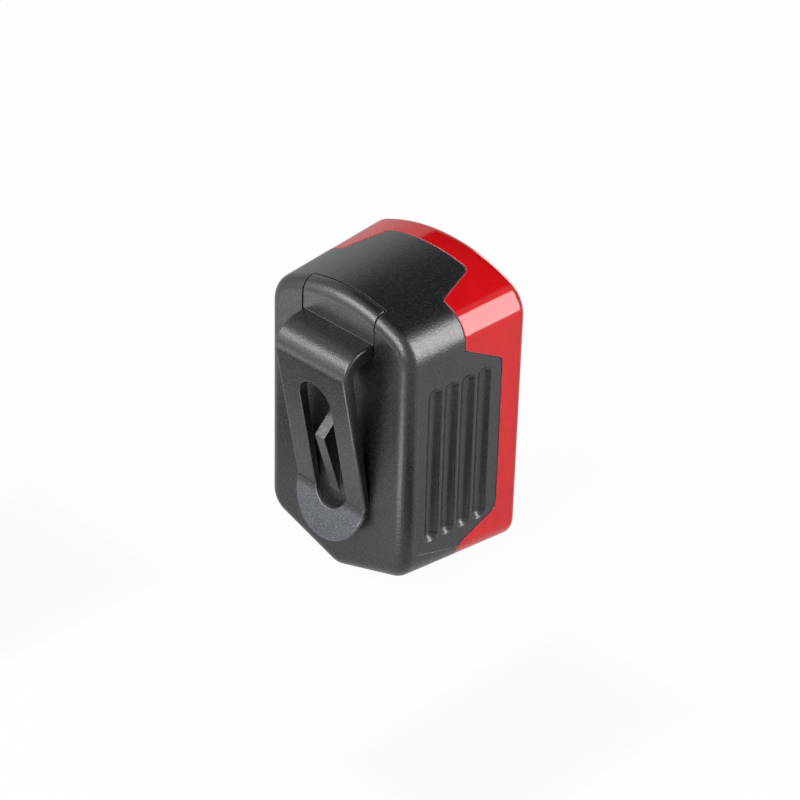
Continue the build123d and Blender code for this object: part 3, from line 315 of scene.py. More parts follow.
class Patterns:
    """Shader node groups that several finishes share, each built once."""

    FINER = 2.3
    BROADER = 0.42
    PEBBLE_SHARE = 0.6
    NOISE_SHARE = 0.3
    SAND_FINENESS = 1.5
    MOTTLE_SCALE = 260.0
    EDGE_AGREEMENT = (0.985, 0.88)
    RUB_SCALE = 900.0
    CLOUD_SCALE = 150.0
    CLOUD_SHARE = 0.5
    MOTE_SCALE = 5200.0
    MOTE_SHARE = 0.6

    @staticmethod
    def _start(
        name: str, inputs: dict[str, float], outputs: tuple[str, ...], vectors: tuple[str, ...] = ()
    ) -> tuple[Nodes, bpy.types.Node, bpy.types.Node]:
        """Opens a new group with a Position input, float inputs, and float and vector outputs.

        Args:
            name: The group's name.
            inputs: Float inputs with their defaults.
            outputs: Float outputs.
            vectors: Vector outputs.

        Returns:
            The group's nodes, and its input and output nodes.
        """
        tree = bpy.data.node_groups.new(name, "ShaderNodeTree")
        tree.interface.new_socket("Position", in_out="INPUT", socket_type="NodeSocketVector")
        for label, value in inputs.items():
            socket = tree.interface.new_socket(label, in_out="INPUT", socket_type="NodeSocketFloat")
            socket.default_value = value
        for kind, labels in (("NodeSocketFloat", outputs), ("NodeSocketVector", vectors)):
            for label in labels:
                tree.interface.new_socket(label, in_out="OUTPUT", socket_type=kind)
        nodes = Nodes(tree)
        return nodes, nodes.add("NodeGroupInput"), nodes.add("NodeGroupOutput")

    @cache
    def mould_grain(self) -> bpy.types.NodeTree:
        """The spark-eroded grain of a moulded surface, with specks where its glints are painted in.

        Returns:
            A group with Height and Mottle outputs, and an output for the specks of painted glints.
        """
        nodes, entry, out = self._start(
            "mould_grain", {"Grain Size": 0.3 * MM, "Fleck Size": 0.42 * MM}, ("Height", "Glint Speck", "Mottle")
        )
        place = entry.outputs["Position"]
        scale = nodes.math("DIVIDE", 1.0, entry.outputs["Grain Size"])
        glint_scale = nodes.math("DIVIDE", 1.0, entry.outputs["Fleck Size"])
        pebbles = nodes.add("ShaderNodeTexVoronoi", feature="SMOOTH_F1")
        glint_flecks = nodes.add("ShaderNodeTexVoronoi", feature="F1")
        for texture, size in ((pebbles, scale), (glint_flecks, glint_scale)):
            nodes.join(place, texture.inputs["Vector"])
            nodes.join(size, texture.inputs["Scale"])
        fine = nodes.noise(place, nodes.times(scale, self.FINER))
        coarse = nodes.noise(place, nodes.times(scale, self.BROADER))
        pebble = nodes.times(pebbles.outputs["Distance"], self.PEBBLE_SHARE)
        rough = nodes.plus(nodes.times(fine, self.NOISE_SHARE), nodes.times(coarse, self.NOISE_SHARE))
        nodes.join(nodes.plus(pebble, rough), out.inputs["Height"])
        # Paler specks, painted in as the glints of the grain where it catches the light.
        pick = nodes.add("ShaderNodeSeparateColor")
        nodes.join(glint_flecks.outputs["Color"], pick.inputs[0])
        chosen = nodes.ramp(pick.outputs[0], 0.4, 1.0)
        dot = nodes.ramp(glint_flecks.outputs["Distance"], 0.5, 0.2)
        sand = nodes.noise(place, nodes.times(glint_scale, self.SAND_FINENESS), 0.0)
        dense = nodes.ramp(sand, 0.5, 0.8, 0.0, 0.5)
        nodes.join(nodes.math("MAXIMUM", nodes.times(chosen, dot), dense), out.inputs["Glint Speck"])
        mottle = nodes.ramp(nodes.noise(place, self.MOTTLE_SCALE, 3.0), 0.35, 0.65)
        nodes.join(mottle, out.inputs["Mottle"])
        return nodes.tree

    @cache
    def edge_wear_and_sheen(self) -> bpy.types.NodeTree:
        """Where edges are rubbed, or on the lens where a highlight is painted along them, from how far a
        rounded normal leaves the surface's own.

        Returns:
            A group with an output for edge wear and painted edge highlight, and the rounded Normal.
        """
        nodes, entry, out = self._start(
            "edge_wear_and_sheen", {"Reach": 0.22 * MM, "Amount": 0.5}, ("Wear And Sheen",), ("Normal",)
        )
        shape = nodes.add("ShaderNodeNewGeometry")
        rounded = nodes.add("ShaderNodeBevel", samples=6)
        nodes.join(entry.outputs["Reach"], rounded.inputs["Radius"])
        agree = nodes.add("ShaderNodeVectorMath", operation="DOT_PRODUCT")
        nodes.join(rounded.outputs["Normal"], agree.inputs[0])
        nodes.join(shape.outputs["Normal"], agree.inputs[1])
        edge = nodes.ramp(agree.outputs["Value"], *self.EDGE_AGREEMENT)
        patchy = nodes.ramp(nodes.noise(entry.outputs["Position"], self.RUB_SCALE), 0.35, 0.6, 0.25, 1.0)
        rubbed = nodes.times(edge, patchy)
        nodes.join(nodes.times(rubbed, entry.outputs["Amount"]), out.inputs["Wear And Sheen"])
        nodes.join(rounded.outputs["Normal"], out.inputs["Normal"])
        return nodes.tree

    @cache
    def dust_film(self) -> bpy.types.NodeTree:
        """Fine dust and handling haze, thicker on faces that look up.

        Returns:
            A group with a Dust output.
        """
        nodes, entry, out = self._start("dust_film", {"Amount": 0.3}, ("Dust",))
        place = entry.outputs["Position"]
        shape = nodes.add("ShaderNodeNewGeometry")
        upwards = nodes.ramp(nodes.level(shape.outputs["Normal"], Axis.Z), -0.2, 1.0, 0.3, 1.0)
        clouds = nodes.ramp(nodes.noise(place, self.CLOUD_SCALE, 4.0), 0.42, 0.72)
        motes = nodes.ramp(nodes.noise(place, self.MOTE_SCALE, 1.0), 0.62, 0.72)
        film = nodes.plus(nodes.times(clouds, self.CLOUD_SHARE), nodes.times(motes, self.MOTE_SHARE))
        shown = nodes.times(nodes.times(film, upwards), entry.outputs["Amount"])
        nodes.join(shown, out.inputs["Dust"])
        return nodes.tree

    @cache
    def drawn_lines(self) -> bpy.types.NodeTree:
        """Fine lines left by rolling, drawing or turning; Position comes stretched along them.

        Returns:
            A group with Height and Streak outputs.
        """
        nodes, entry, out = self._start("drawn_lines", {"Line Scale": 9000.0}, ("Height", "Streak"))
        place = entry.outputs["Position"]
        fine = nodes.noise(place, entry.outputs["Line Scale"], 3.0)
        broad = nodes.noise(place, nodes.times(entry.outputs["Line Scale"], 0.2))
        nodes.join(nodes.plus(fine, nodes.times(broad, 0.5)), out.inputs["Height"])
        nodes.join(nodes.ramp(broad, 0.35, 0.65), out.inputs["Streak"])
        return nodes.tree


PATTERNS = Patterns()


@dataclass
class Recipe:
    """A material being made: its nodes, its shader and its Object coordinates."""

    name: str
    material: Material = field(init=False)
    nodes: Nodes = field(init=False)
    shader: bpy.types.Node = field(init=False)
    place: Socket = field(init=False)

    def __post_init__(self) -> None:
        """Opens a node material with a Principled shader."""
        self.material = bpy.data.materials.new(self.name)
        self.material.use_nodes = True
        self.nodes = Nodes(self.material.node_tree)
        self.shader = self.material.node_tree.nodes["Principled BSDF"]
        self.place = self.nodes.add("ShaderNodeTexCoord").outputs["Object"]

    def group(self, tree: bpy.types.NodeTree, **values: float) -> bpy.types.Node:
        """Adds a shared pattern, fed by the Object coordinates.

        Args:
            tree: The pattern's group.
            **values: Its inputs, with _ for each space in their names.

        Returns:
            The group's node.
        """
        node = self.nodes.add("ShaderNodeGroup", node_tree=tree)
        self.nodes.join(self.place, node.inputs["Position"])
        for name, value in values.items():
            node.inputs[name.replace("_", " ")].default_value = value
        return node

    def feed(self, **values: object) -> None:
        """Sets or links inputs of the shader, named with _ for each space."""
        for name, value in values.items():
            self.nodes.feed(self.shader.inputs[name.replace("_", " ")], value)

    def bump(
        self, height: Socket, distance: float, strength: float = 1.0, over: Socket | None = None
    ) -> None:
        """Raises the surface by a height pattern.

        Args:
            height: The pattern.
            distance: How high its full value stands.
            strength: How much of it shows.
            over: The normal that it starts from, where that isn't the surface's own.
        """
        node = self.nodes.add("ShaderNodeBump")
        if over is not None:
            self.nodes.join(over, node.inputs["Normal"])
        node.inputs["Distance"].default_value = distance
        node.inputs["Strength"].default_value = strength
        self.nodes.join(height, node.inputs["Height"])
        self.nodes.join(node.outputs["Normal"], self.shader.inputs["Normal"])


@dataclass(frozen=True)
class Finish:
    """A named finish, whose kinds each lay their own shading on a new material."""

    name: str

    def lay(self, recipe: Recipe, nodes: Nodes) -> None:
        """Lays the finish; each kind has its own way."""
        raise NotImplementedError

    def material(self) -> Material:
        """Builds the finish.

        Returns:
            The material.
        """
        recipe = Recipe(self.name)
        self.lay(recipe, recipe.nodes)
        return recipe.material


@dataclass(frozen=True)
class MouldedFinish(Finish):
    """Moulded thermoplastic with a spark-eroded grain, paler specks painted in as its glints, and rubbed at
    its edges.

    Below a given height its specks are denser and paler, as on the clip's foot: partly coarser grain, partly
    a painted highlight where the upturned foot catches the light. Other pieces end above it.
    """

    colour: Colour
    # The paler colour of the specks painted in as the grain's glints.
    glint_colour: Colour
    rubbed: Colour
    roughness: float
    grain_size: float = 0.34 * MM
    grain_height: float = 0.1 * MM
    glint_size: float = 0.42 * MM
    wear: float = 0.6
    dust: float = 0.008
    dust_colour: Colour = (0.3, 0.29, 0.27, 1.0)
    specular: float = 0.65
    # Below this height the specks turn denser and paler: coarser grain, and a painted highlight where the
    # upturned foot catches the light.
    sheen_pad_top: float = -1.0
    sheen_pad_fade: Pair = (0.2 * MM, -0.6 * MM)
    sheen_pad_lift: float = 1.2
    sheen_pad_base: float = 0.4
    sheen_pad_tone: float = 2.0

    def lay(self, recipe: Recipe, nodes: Nodes) -> None:
        """Lays the finish.

        Args:
            recipe: The material being made.
            nodes: Its nodes.
        """
        grain = recipe.group(PATTERNS.mould_grain(), Grain_Size=self.grain_size, Fleck_Size=self.glint_size)
        wear = recipe.group(PATTERNS.edge_wear_and_sheen(), Amount=self.wear)
        dust = recipe.group(PATTERNS.dust_film(), Amount=self.dust)
        tone = nodes.blend(grain.outputs["Mottle"], toned(self.colour, 0.8), self.colour)
        # Below the pad height the specks grow denser and paler: coarser grain, and a painted highlight where
        # the upturned foot catches the light.
        height = nodes.level(recipe.place, Axis.Z)
        pad = nodes.ramp(height, *(self.sheen_pad_top + fade for fade in self.sheen_pad_fade))
        lift = nodes.plus(nodes.times(pad, self.sheen_pad_lift), 1.0)
        spotted = nodes.times(grain.outputs["Glint Speck"], lift)
        coarse = nodes.plus(spotted, nodes.times(pad, self.sheen_pad_base))
        # The specks take the paler colour of the painted glints.
        glint_flecks = nodes.blend(pad, self.glint_colour, toned(self.glint_colour, self.sheen_pad_tone))
        worn = nodes.blend(wear.outputs["Wear And Sheen"], nodes.blend(coarse, tone, glint_flecks), self.rubbed)
        recipe.feed(
            Base_Color=nodes.blend(dust.outputs["Dust"], worn, self.dust_colour),
            Roughness=nodes.ramp(grain.outputs["Glint Speck"], 0.0, 1.0, self.roughness, self.roughness * 0.7),
            Specular_IOR_Level=self.specular,
        )
        recipe.bump(grain.outputs["Height"], self.grain_height, over=wear.outputs["Normal"])


@dataclass(frozen=True)
class LensFinish(Finish):
    """Polished red plastic that lets some light through, with painted shade along its front rim and a painted
    highlight along its edges.
    """

    colour: Colour
    # The rim settings give painted shade along the front rim, where its faces turn to the front.
    shade_rim_depth: float
    shade_rim_fade: Pair = (-0.9 * MM, 0.3 * MM)
    shade_rim_tone: float = 0.66
    edge_reach: float = 0.45 * MM
    # Paler red painted along the edges as a highlight where they catch the light.
    edge_highlight_colour: Colour = (0.86, 0.2, 0.19, 1.0)
    dust_colour: Colour = (0.7, 0.45, 0.43, 1.0)
    haze_scale: float = 320.0
    scratch_scale: float = 5200.0
    ripple_scale: float = 190.0
    roughness: float = 0.07
    clearness: float = 0.25
    specular: float = 0.3

    def lay(self, recipe: Recipe, nodes: Nodes) -> None:
        """Lays the finish.

        Args:
            recipe: The material being made.
            nodes: Its nodes.
        """
        haze = nodes.noise(recipe.place, self.haze_scale, 4.0)
        depth = nodes.times(nodes.level(recipe.place, Axis.Y), -1.0)
        # Painted shade: darker towards the front rim, where the faces turn to the front.
        rim = nodes.ramp(depth, *(self.shade_rim_depth + fade for fade in self.shade_rim_fade))
        flow = nodes.blend(nodes.ramp(haze, 0.4, 0.6), toned(self.colour, 0.93), self.colour)
        dust = recipe.group(PATTERNS.dust_film(), Amount=0.012)
        edge = recipe.group(PATTERNS.edge_wear_and_sheen(), Reach=self.edge_reach, Amount=0.5)
        rim_shaded = nodes.blend(rim, flow, toned(self.colour, self.shade_rim_tone))
        # Painted highlight: the edges blend to a paler red.
        edge_lit = nodes.blend(edge.outputs["Wear And Sheen"], rim_shaded, self.edge_highlight_colour)
        drawn = nodes.stretched(recipe.place, (1.0, 0.12, 1.0))
        scratches = nodes.ramp(nodes.noise(drawn, self.scratch_scale, 1.0), 0.68, 0.76)
        smooth = nodes.ramp(haze, 0.35, 0.7, self.roughness * 0.8, self.roughness * 1.5)
        recipe.feed(
            Base_Color=nodes.blend(dust.outputs["Dust"], edge_lit, self.dust_colour),
            Roughness=nodes.plus(smooth, nodes.times(scratches, 0.05)),
            Transmission_Weight=self.clearness,
            IOR=1.5,
            Specular_IOR_Level=self.specular,
        )
        ripple = nodes.noise(recipe.place, self.ripple_scale, 1.0)
        recipe.bump(ripple, 0.05 * MM, 0.35, edge.outputs["Normal"])


@dataclass(frozen=True)
class MetalFinish(Finish):
    """Plated or bright metal with fine lines and patches of tarnish."""

    colour: Colour
    roughness: float
    lines: Place = (1.0, 1.0, 0.05)
    line_scale: float = 9000.0
    line_height: float = 0.004 * MM
    tarnish: float = 0.25
    tarnish_tones: tuple[float, float, float] = (0.55, 0.48, 0.38)
    patch_scale: float = 420.0

    def lay(self, recipe: Recipe, nodes: Nodes) -> None:
        """Lays the finish.

        Args:
            recipe: The material being made.
            nodes: Its nodes.
        """
        lines = nodes.add("ShaderNodeGroup", node_tree=PATTERNS.drawn_lines())
        lines.inputs["Line Scale"].default_value = self.line_scale
        nodes.join(nodes.stretched(recipe.place, self.lines), lines.inputs["Position"])
        cloud = nodes.noise(recipe.place, self.patch_scale, 4.0)
        patches = nodes.ramp(cloud, 0.5, 0.75, 0.0, self.tarnish)
        streaked = nodes.blend(lines.outputs["Streak"], toned(self.colour, 0.86), self.colour)
        dull = (*(level * tone for level, tone in zip(self.colour, self.tarnish_tones)), 1.0)
        smooth = nodes.ramp(lines.outputs["Streak"], 0.0, 1.0, self.roughness * 0.75, self.roughness * 1.2)
        recipe.feed(
            Base_Color=nodes.blend(patches, streaked, dull),
            Roughness=nodes.plus(smooth, nodes.times(patches, 0.5)),
            Metallic=1.0,
        )
        recipe.bump(lines.outputs["Height"], self.line_height)


@dataclass(frozen=True)
class RubberFinish(Finish):
    """Soft black rubber with a bloom and a faint cast texture."""

    colour: Colour
    dust_colour: Colour = (0.22, 0.22, 0.21, 1.0)
    cast_scale: float = 2600.0
    roughness: float = 0.72

    def lay(self, recipe: Recipe, nodes: Nodes) -> None:
        """Lays the finish.

        Args:
            recipe: The material being made.
            nodes: Its nodes.
        """
        dust = recipe.group(PATTERNS.dust_film(), Amount=0.35)
        cast = nodes.noise(recipe.place, self.cast_scale, 3.0)
        bloom = nodes.blend(nodes.ramp(cast, 0.35, 0.7), self.colour, toned(self.colour, 1.6))
        recipe.feed(
            Base_Color=nodes.blend(dust.outputs["Dust"], bloom, self.dust_colour),
            Roughness=nodes.ramp(cast, 0.3, 0.7, self.roughness, self.roughness * 1.15),
        )
        recipe.bump(cast, 0.02 * MM)


@dataclass(frozen=True)
class CellFinish(Finish):
    """A cell's shrunk sleeve with a paler end band, and its bare metal ends."""

    sleeve: Colour
    band: Colour
    axis_offset: float
    axis_depth: float
    cap_radius: float
    band_height: float
    cap_tones: tuple[Colour, Colour] = ((0.55, 0.54, 0.52, 1.0), (0.78, 0.77, 0.75, 1.0))
    haze_scale: float = 420.0
    foil_scale: float = 6000.0

    def lay(self, recipe: Recipe, nodes: Nodes) -> None:
        """Lays the finish.

        Args:
            recipe: The material being made.
            nodes: Its nodes.
        """
        x, y, z = nodes.parts(recipe.place)
        across = nodes.add("ShaderNodeCombineXYZ")
        nodes.join(nodes.math("ABSOLUTE", x), across.inputs[0])
        nodes.join(y, across.inputs[1])
        centre = (self.axis_offset, -self.axis_depth, 0.0)
        radius = nodes.away(across.outputs[0], centre, Axis.Z)
        inner, outer = self.cap_radius - SEAM, self.cap_radius + SEAM
        sleeve = nodes.ramp(radius, inner, outer)
        upward = nodes.times(z, nodes.math("SIGN", x))
        band = nodes.ramp(upward, self.band_height, self.band_height + 2 * SEAM)
        haze = nodes.noise(recipe.place, self.haze_scale, 3.0)
        foil = nodes.noise(nodes.stretched(recipe.place, (1.0, 1.0, 0.1)), self.foil_scale, 2.0)
        film = nodes.blend(nodes.ramp(haze, 0.4, 0.65), self.sleeve, toned(self.sleeve, 1.25))
        recipe.feed(
            Base_Color=nodes.blend(
                sleeve, nodes.blend(foil, *self.cap_tones), nodes.blend(band, film, self.band)
            ),
            Metallic=nodes.ramp(radius, inner, outer, 1.0, 0.0),
            Roughness=nodes.ramp(haze, 0.35, 0.7, 0.2, 0.34),
            Coat_Weight=nodes.times(sleeve, 0.4),
        )
        recipe.bump(nodes.plus(haze, nodes.times(foil, 0.4)), 0.03 * MM)


@dataclass(frozen=True)
class BoardFinish(Finish):
    """Solder mask over copper traces on both faces, and bare laminate along the cut edges."""

    mask: Colour
    copper: Colour
    pads: tuple[Place, ...]
    pad_radius: float
    trace_pitch: float = 3.2 * MM
    trace_gap: float = 0.17 * MM
    laminate: tuple[Colour, Colour] = (srgb(150, 138, 92), srgb(188, 176, 128))
    fibre_scale: float = 4200.0
    gloss_scale: float = 500.0

    def lay(self, recipe: Recipe, nodes: Nodes) -> None:
        """Lays the finish.

        Args:
            recipe: The material being made.
            nodes: Its nodes.
        """
        shape = nodes.add("ShaderNodeNewGeometry")
        facing = nodes.math("ABSOLUTE", nodes.level(shape.outputs["Normal"], Axis.Y))
        edge = nodes.ramp(facing, 0.7, 0.5)
        lanes = nodes.add("ShaderNodeTexBrick", offset=0.37, squash=0.6, squash_frequency=3)
        turn = nodes.add("ShaderNodeMapping")
        turn.inputs["Rotation"].default_value = (math.radians(90), 0.0, 0.0)
        nodes.join(recipe.place, turn.inputs["Vector"])
        nodes.join(turn.outputs[0], lanes.inputs["Vector"])
        for name, value in (
            ("Scale", 1.0), ("Mortar Size", self.trace_gap), ("Mortar Smooth", 0.1),
            ("Brick Width", 2.4 * self.trace_pitch), ("Row Height", self.trace_pitch),
        ):
            lanes.inputs[name].default_value = value
        fibre = nodes.noise(nodes.stretched(recipe.place, (1.0, 1.0, 0.2)), self.fibre_scale, 2.0)
        gloss = nodes.noise(recipe.place, self.gloss_scale, 3.0)
        over_copper = nodes.blend(lanes.outputs["Fac"], self.mask, toned(self.mask, 2.1))
        distance = nodes.nearest(recipe.place, self.pads, Axis.Y)
        pad = nodes.ramp(distance, self.pad_radius + SEAM, self.pad_radius - SEAM)
        faced = nodes.blend(pad, over_copper, self.copper)
        recipe.feed(
            Base_Color=nodes.blend(edge, faced, nodes.blend(fibre, *self.laminate)),
            Roughness=nodes.plus(nodes.ramp(gloss, 0.35, 0.7, 0.22, 0.36), nodes.times(edge, 0.4)),
            Metallic=pad,
        )
        recipe.bump(nodes.plus(lanes.outputs["Fac"], nodes.times(gloss, 0.3)), 0.02 * MM)


@dataclass(frozen=True)
class PartedFinish(Finish):
    """A small part whose middle is one material and whose ends are bright metal."""

    middle: Colour
    ends: Colour
    centre: Place
    reach: float
    along: Axis
    grain_scale: float = 3800.0

    def lay(self, recipe: Recipe, nodes: Nodes) -> None:
        """Lays the finish.

        Args:
            recipe: The material being made.
            nodes: Its nodes.
        """
        level = nodes.level(recipe.place, self.along)
        off = nodes.math("ABSOLUTE", nodes.math("SUBTRACT", level, self.centre[self.along.value]))
        end = nodes.ramp(off, self.reach, self.reach + 0.08 * MM)
        grain = nodes.noise(recipe.place, self.grain_scale, 3.0)
        tin = nodes.blend(grain, toned(self.ends, 0.75), self.ends)
        body = nodes.blend(grain, toned(self.middle, 0.8), self.middle)
        recipe.feed(
            Base_Color=nodes.blend(end, body, tin),
            Metallic=end,
            Roughness=nodes.ramp(grain, 0.3, 0.7, 0.28, 0.45),
        )
        recipe.bump(grain, 0.01 * MM)


@dataclass(frozen=True)
class EmitterFinish(Finish):
    """An emitter's white base with the yellow phosphor showing through its clear dome."""

    base: Colour
    dome: Colour
    base_depth: float
    grain_scale: float = 5200.0

    def lay(self, recipe: Recipe, nodes: Nodes) -> None:
        """Lays the finish.

        Args:
            recipe: The material being made.
            nodes: Its nodes.
        """
        depth = nodes.times(nodes.level(recipe.place, Axis.Y), -1.0)
        dome = nodes.ramp(depth, self.base_depth - 0.02 * MM, self.base_depth + 0.02 * MM)
        grain = nodes.noise(recipe.place, self.grain_scale, 3.0)
        gel = nodes.blend(grain, toned(self.dome, 0.85), self.dome)
        ceramic = nodes.blend(grain, toned(self.base, 0.9), self.base)
        recipe.feed(
            Base_Color=nodes.blend(dome, ceramic, gel),
            Roughness=nodes.plus(nodes.ramp(dome, 0.0, 1.0, 0.45, 0.08), nodes.times(grain, 0.05)),
            Coat_Weight=nodes.times(dome, 0.8),
        )
        recipe.bump(grain, 0.006 * MM)


@dataclass(frozen=True)
class RingedFinish(Finish):
    """Metal or plastic with fine turned rings round one or more lines, such as screw heads."""

    colour: Colour
    centres: tuple[Place, ...]
    along: Axis
    metallic: float
    roughness: float
    ring_pitch: float = 0.12 * MM
    ring_height: float = 0.006 * MM
    cloud_scale: float = 900.0
    dust: float = 0.2
    dust_colour: Colour = (0.35, 0.34, 0.32, 1.0)

    def lay(self, recipe: Recipe, nodes: Nodes) -> None:
        """Lays the finish.

        Args:
            recipe: The material being made.
            nodes: Its nodes.
        """
        distance = nodes.nearest(recipe.place, self.centres, self.along)
        wave = nodes.math("SINE", nodes.times(distance, math.tau / self.ring_pitch))
        cloud = nodes.noise(recipe.place, self.cloud_scale, 4.0)
        dust = recipe.group(PATTERNS.dust_film(), Amount=self.dust)
        tone = nodes.blend(nodes.ramp(cloud, 0.35, 0.7), toned(self.colour, 0.78), self.colour)
        recipe.feed(
            Base_Color=nodes.blend(dust.outputs["Dust"], tone, self.dust_colour),
            Roughness=nodes.ramp(cloud, 0.3, 0.7, self.roughness, self.roughness * 1.35),
            Metallic=self.metallic,
        )
        recipe.bump(nodes.plus(wave, cloud), self.ring_height)


@dataclass
class Assembly:
    """Some of the frame's nodes, dressed where they stand."""

    nodes: Parts

    def coat(self, finish: Finish, *names: str) -> None:
        """Gives every face of some nodes one finish.

        Args:
            finish: The finish to show.
            *names: The nodes to dress.
        """
        material = finish.material()
        for name in names:
            if not self.nodes[name].material_slots:
                self.nodes[name].data.materials.append(material)
            for slot in self.nodes[name].material_slots:
                slot.material = material
            LOG.info("dressed %s", name)


class Bench:
    """One new mesh being shaped in the frame's own place, then finished as a piece."""

    SHARP_ANGLE = 0.5

    def __init__(self, name: str) -> None:
        """Opens an empty mesh for the piece of that name."""
        self.name = name
        self.mesh = bmesh.new()

    def _carry(self, top: bmesh.types.BMFace, shift: Vector, share: float) -> bmesh.types.BMFace:
        """Extrudes a face, then moves and resizes it.

        Args:
            top: The face to extrude.
            shift: How far the new face moves.
            share: How much of the face's size is kept.

        Returns:
            The new end face.
        """
        grown = bmesh.ops.extrude_face_region(self.mesh, geom=[top])["geom"]
        end = next(item for item in grown if isinstance(item, bmesh.types.BMFace))
        bmesh.ops.translate(self.mesh, verts=end.verts, vec=shift)
        middle = end.calc_center_median()
        bmesh.ops.scale(
            self.mesh, verts=end.verts, vec=(share, share, share), space=Matrix.Translation(-middle)
        )
        return end

    def column(
        self, centre: Vector, facing: Vector, radius: float, steps: tuple[Pair, ...], segments: int = 20
    ) -> None:
        """Grows a closed round column from a disc, through rises and shares of its width.

        Args:
            centre: The middle of its foot.
            facing: The way it rises.
            radius: Its foot's radius.
            steps: A rise and a share of the last width for each ring.
            segments: How many sides it has.
        """
        turn = facing.to_track_quat("Z", "Y").to_matrix().to_4x4()
        made = bmesh.ops.create_circle(
            self.mesh, cap_ends=True, segments=segments, radius=radius,
            matrix=Matrix.Translation(centre) @ turn,
        )
        top = made["verts"][0].link_faces[0]
        for rise, share in steps:
            top = self._carry(top, facing * rise, share)

    def bar(self, start: Vector, size: Pair, path: list[Vector]) -> None:
        """Grows a closed flat bar along a bent path.

        Args:
            start: The middle of its first end, whose face looks along the first step.
            size: The end's width along X and its thickness.
            path: The steps from one corner to the next.
        """
        turn = path[0].to_track_quat("Z", "X").to_matrix().to_4x4()
        made = bmesh.ops.create_grid(
            self.mesh, x_segments=1, y_segments=1, size=0.5, matrix=Matrix.Translation(start) @ turn
        )
        face = made["verts"][0].link_faces[0]
        middle = Matrix.Translation(-start)
        local = turn.to_3x3()
        width_first = abs((local @ Vector((1, 0, 0))).x) > 0.5
        spread = (size[0], size[1], 1.0) if width_first else (size[1], size[0], 1.0)
        bmesh.ops.scale(self.mesh, verts=face.verts, vec=spread, space=turn.inverted() @ middle)
        for step in path:
            face = self._carry(face, step, 1.0)

    def finish(self, material: Material, body: Body, slot: str, round_off: float = 0.0) -> None:
        """Closes, rounds and shades the mesh, and mounts it on its body.

        Args:
            material: The piece's finish.
            body: The body it rides on.
            slot: The name of a material slot; not used.
            round_off: How much its corners are rounded.
        """
        bmesh.ops.recalc_face_normals(self.mesh, faces=self.mesh.faces)
        if round_off > 0:
            sharp = [edge for edge in self.mesh.edges if edge.calc_face_angle(0.0) > self.SHARP_ANGLE]
            bmesh.ops.bevel(
                self.mesh, geom=sharp, offset=round_off, segments=2, profile=0.5, affect="EDGES", material=-1
            )
        for face in self.mesh.faces:
            face.smooth = True
        data = bpy.data.meshes.new(self.name)
        self.mesh.to_mesh(data)
        self.mesh.free()
        data.materials.append(material)
        piece = bpy.data.objects.new(self.name, data)
        bpy.context.scene.collection.objects.link(piece)
        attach(piece, body.value)
        LOG.info("built %s with %d faces", self.name, len(data.polygons))


@dataclass
class RearHousing(Assembly):
    """The black moulded shell with its grip panels, flutes and wedge catch."""

    # Its second colour is that of the painted glints in the grain.
    finish: MouldedFinish = MouldedFinish(
        "housing_black", (0.0007, 0.0009, 0.0015, 1.0), (0.034, 0.036, 0.042, 1.0), (0.07, 0.072, 0.075, 1.0),
        roughness=0.31, grain_size=0.28 * MM, grain_height=0.055 * MM, glint_size=0.3 * MM, wear=0.2,
    )
    seal: RubberFinish = RubberFinish("gasket_rubber", (0.018, 0.018, 0.018, 1.0))

    def dress(self) -> None:
        """Finishes the shell and the seal in its ledge."""
        self.coat(self.finish, "rear_housing")
        self.coat(self.seal, "housing_gasket")


@dataclass
class BeltClip(Assembly):
    """The black clip with its flush tile, curl, slotted arm and foot."""

    # Its second colour is that of the painted glints; below the pad height the foot is lightened as a painted
    # highlight.
    finish: MouldedFinish = MouldedFinish(
        "clip_black", (0.0009, 0.0012, 0.0019, 1.0), (0.036, 0.039, 0.044, 1.0), (0.07, 0.073, 0.078, 1.0),
        roughness=0.3, grain_size=0.26 * MM, grain_height=0.045 * MM, glint_size=0.3 * MM, wear=0.2,
        sheen_pad_top=-15.6 * MM, specular=0.75,
    )

    def dress(self) -> None:
        """Finishes the clip."""
        self.coat(self.finish, "belt_clip")


@dataclass
class LensCover(Assembly):
    """The red cover, and the bright reflector plate inside it."""

    # The depth given here is where the painted shade along the front rim begins.
    lens: LensFinish = LensFinish("lens_red", (0.58, 0.004, 0.007, 1.0), shade_rim_depth=29.3 * MM)
    mirror: MetalFinish = MetalFinish(
        "reflector_bright", (0.88, 0.88, 0.89, 1.0), 0.09, lines=(1.0, 1.0, 1.0), line_scale=1500.0,
        tarnish=0.05,
    )

    def dress(self) -> None:
        """Finishes the cover and the reflector."""
        self.coat(self.lens, "lens_cover")
        self.coat(self.mirror, "reflector")


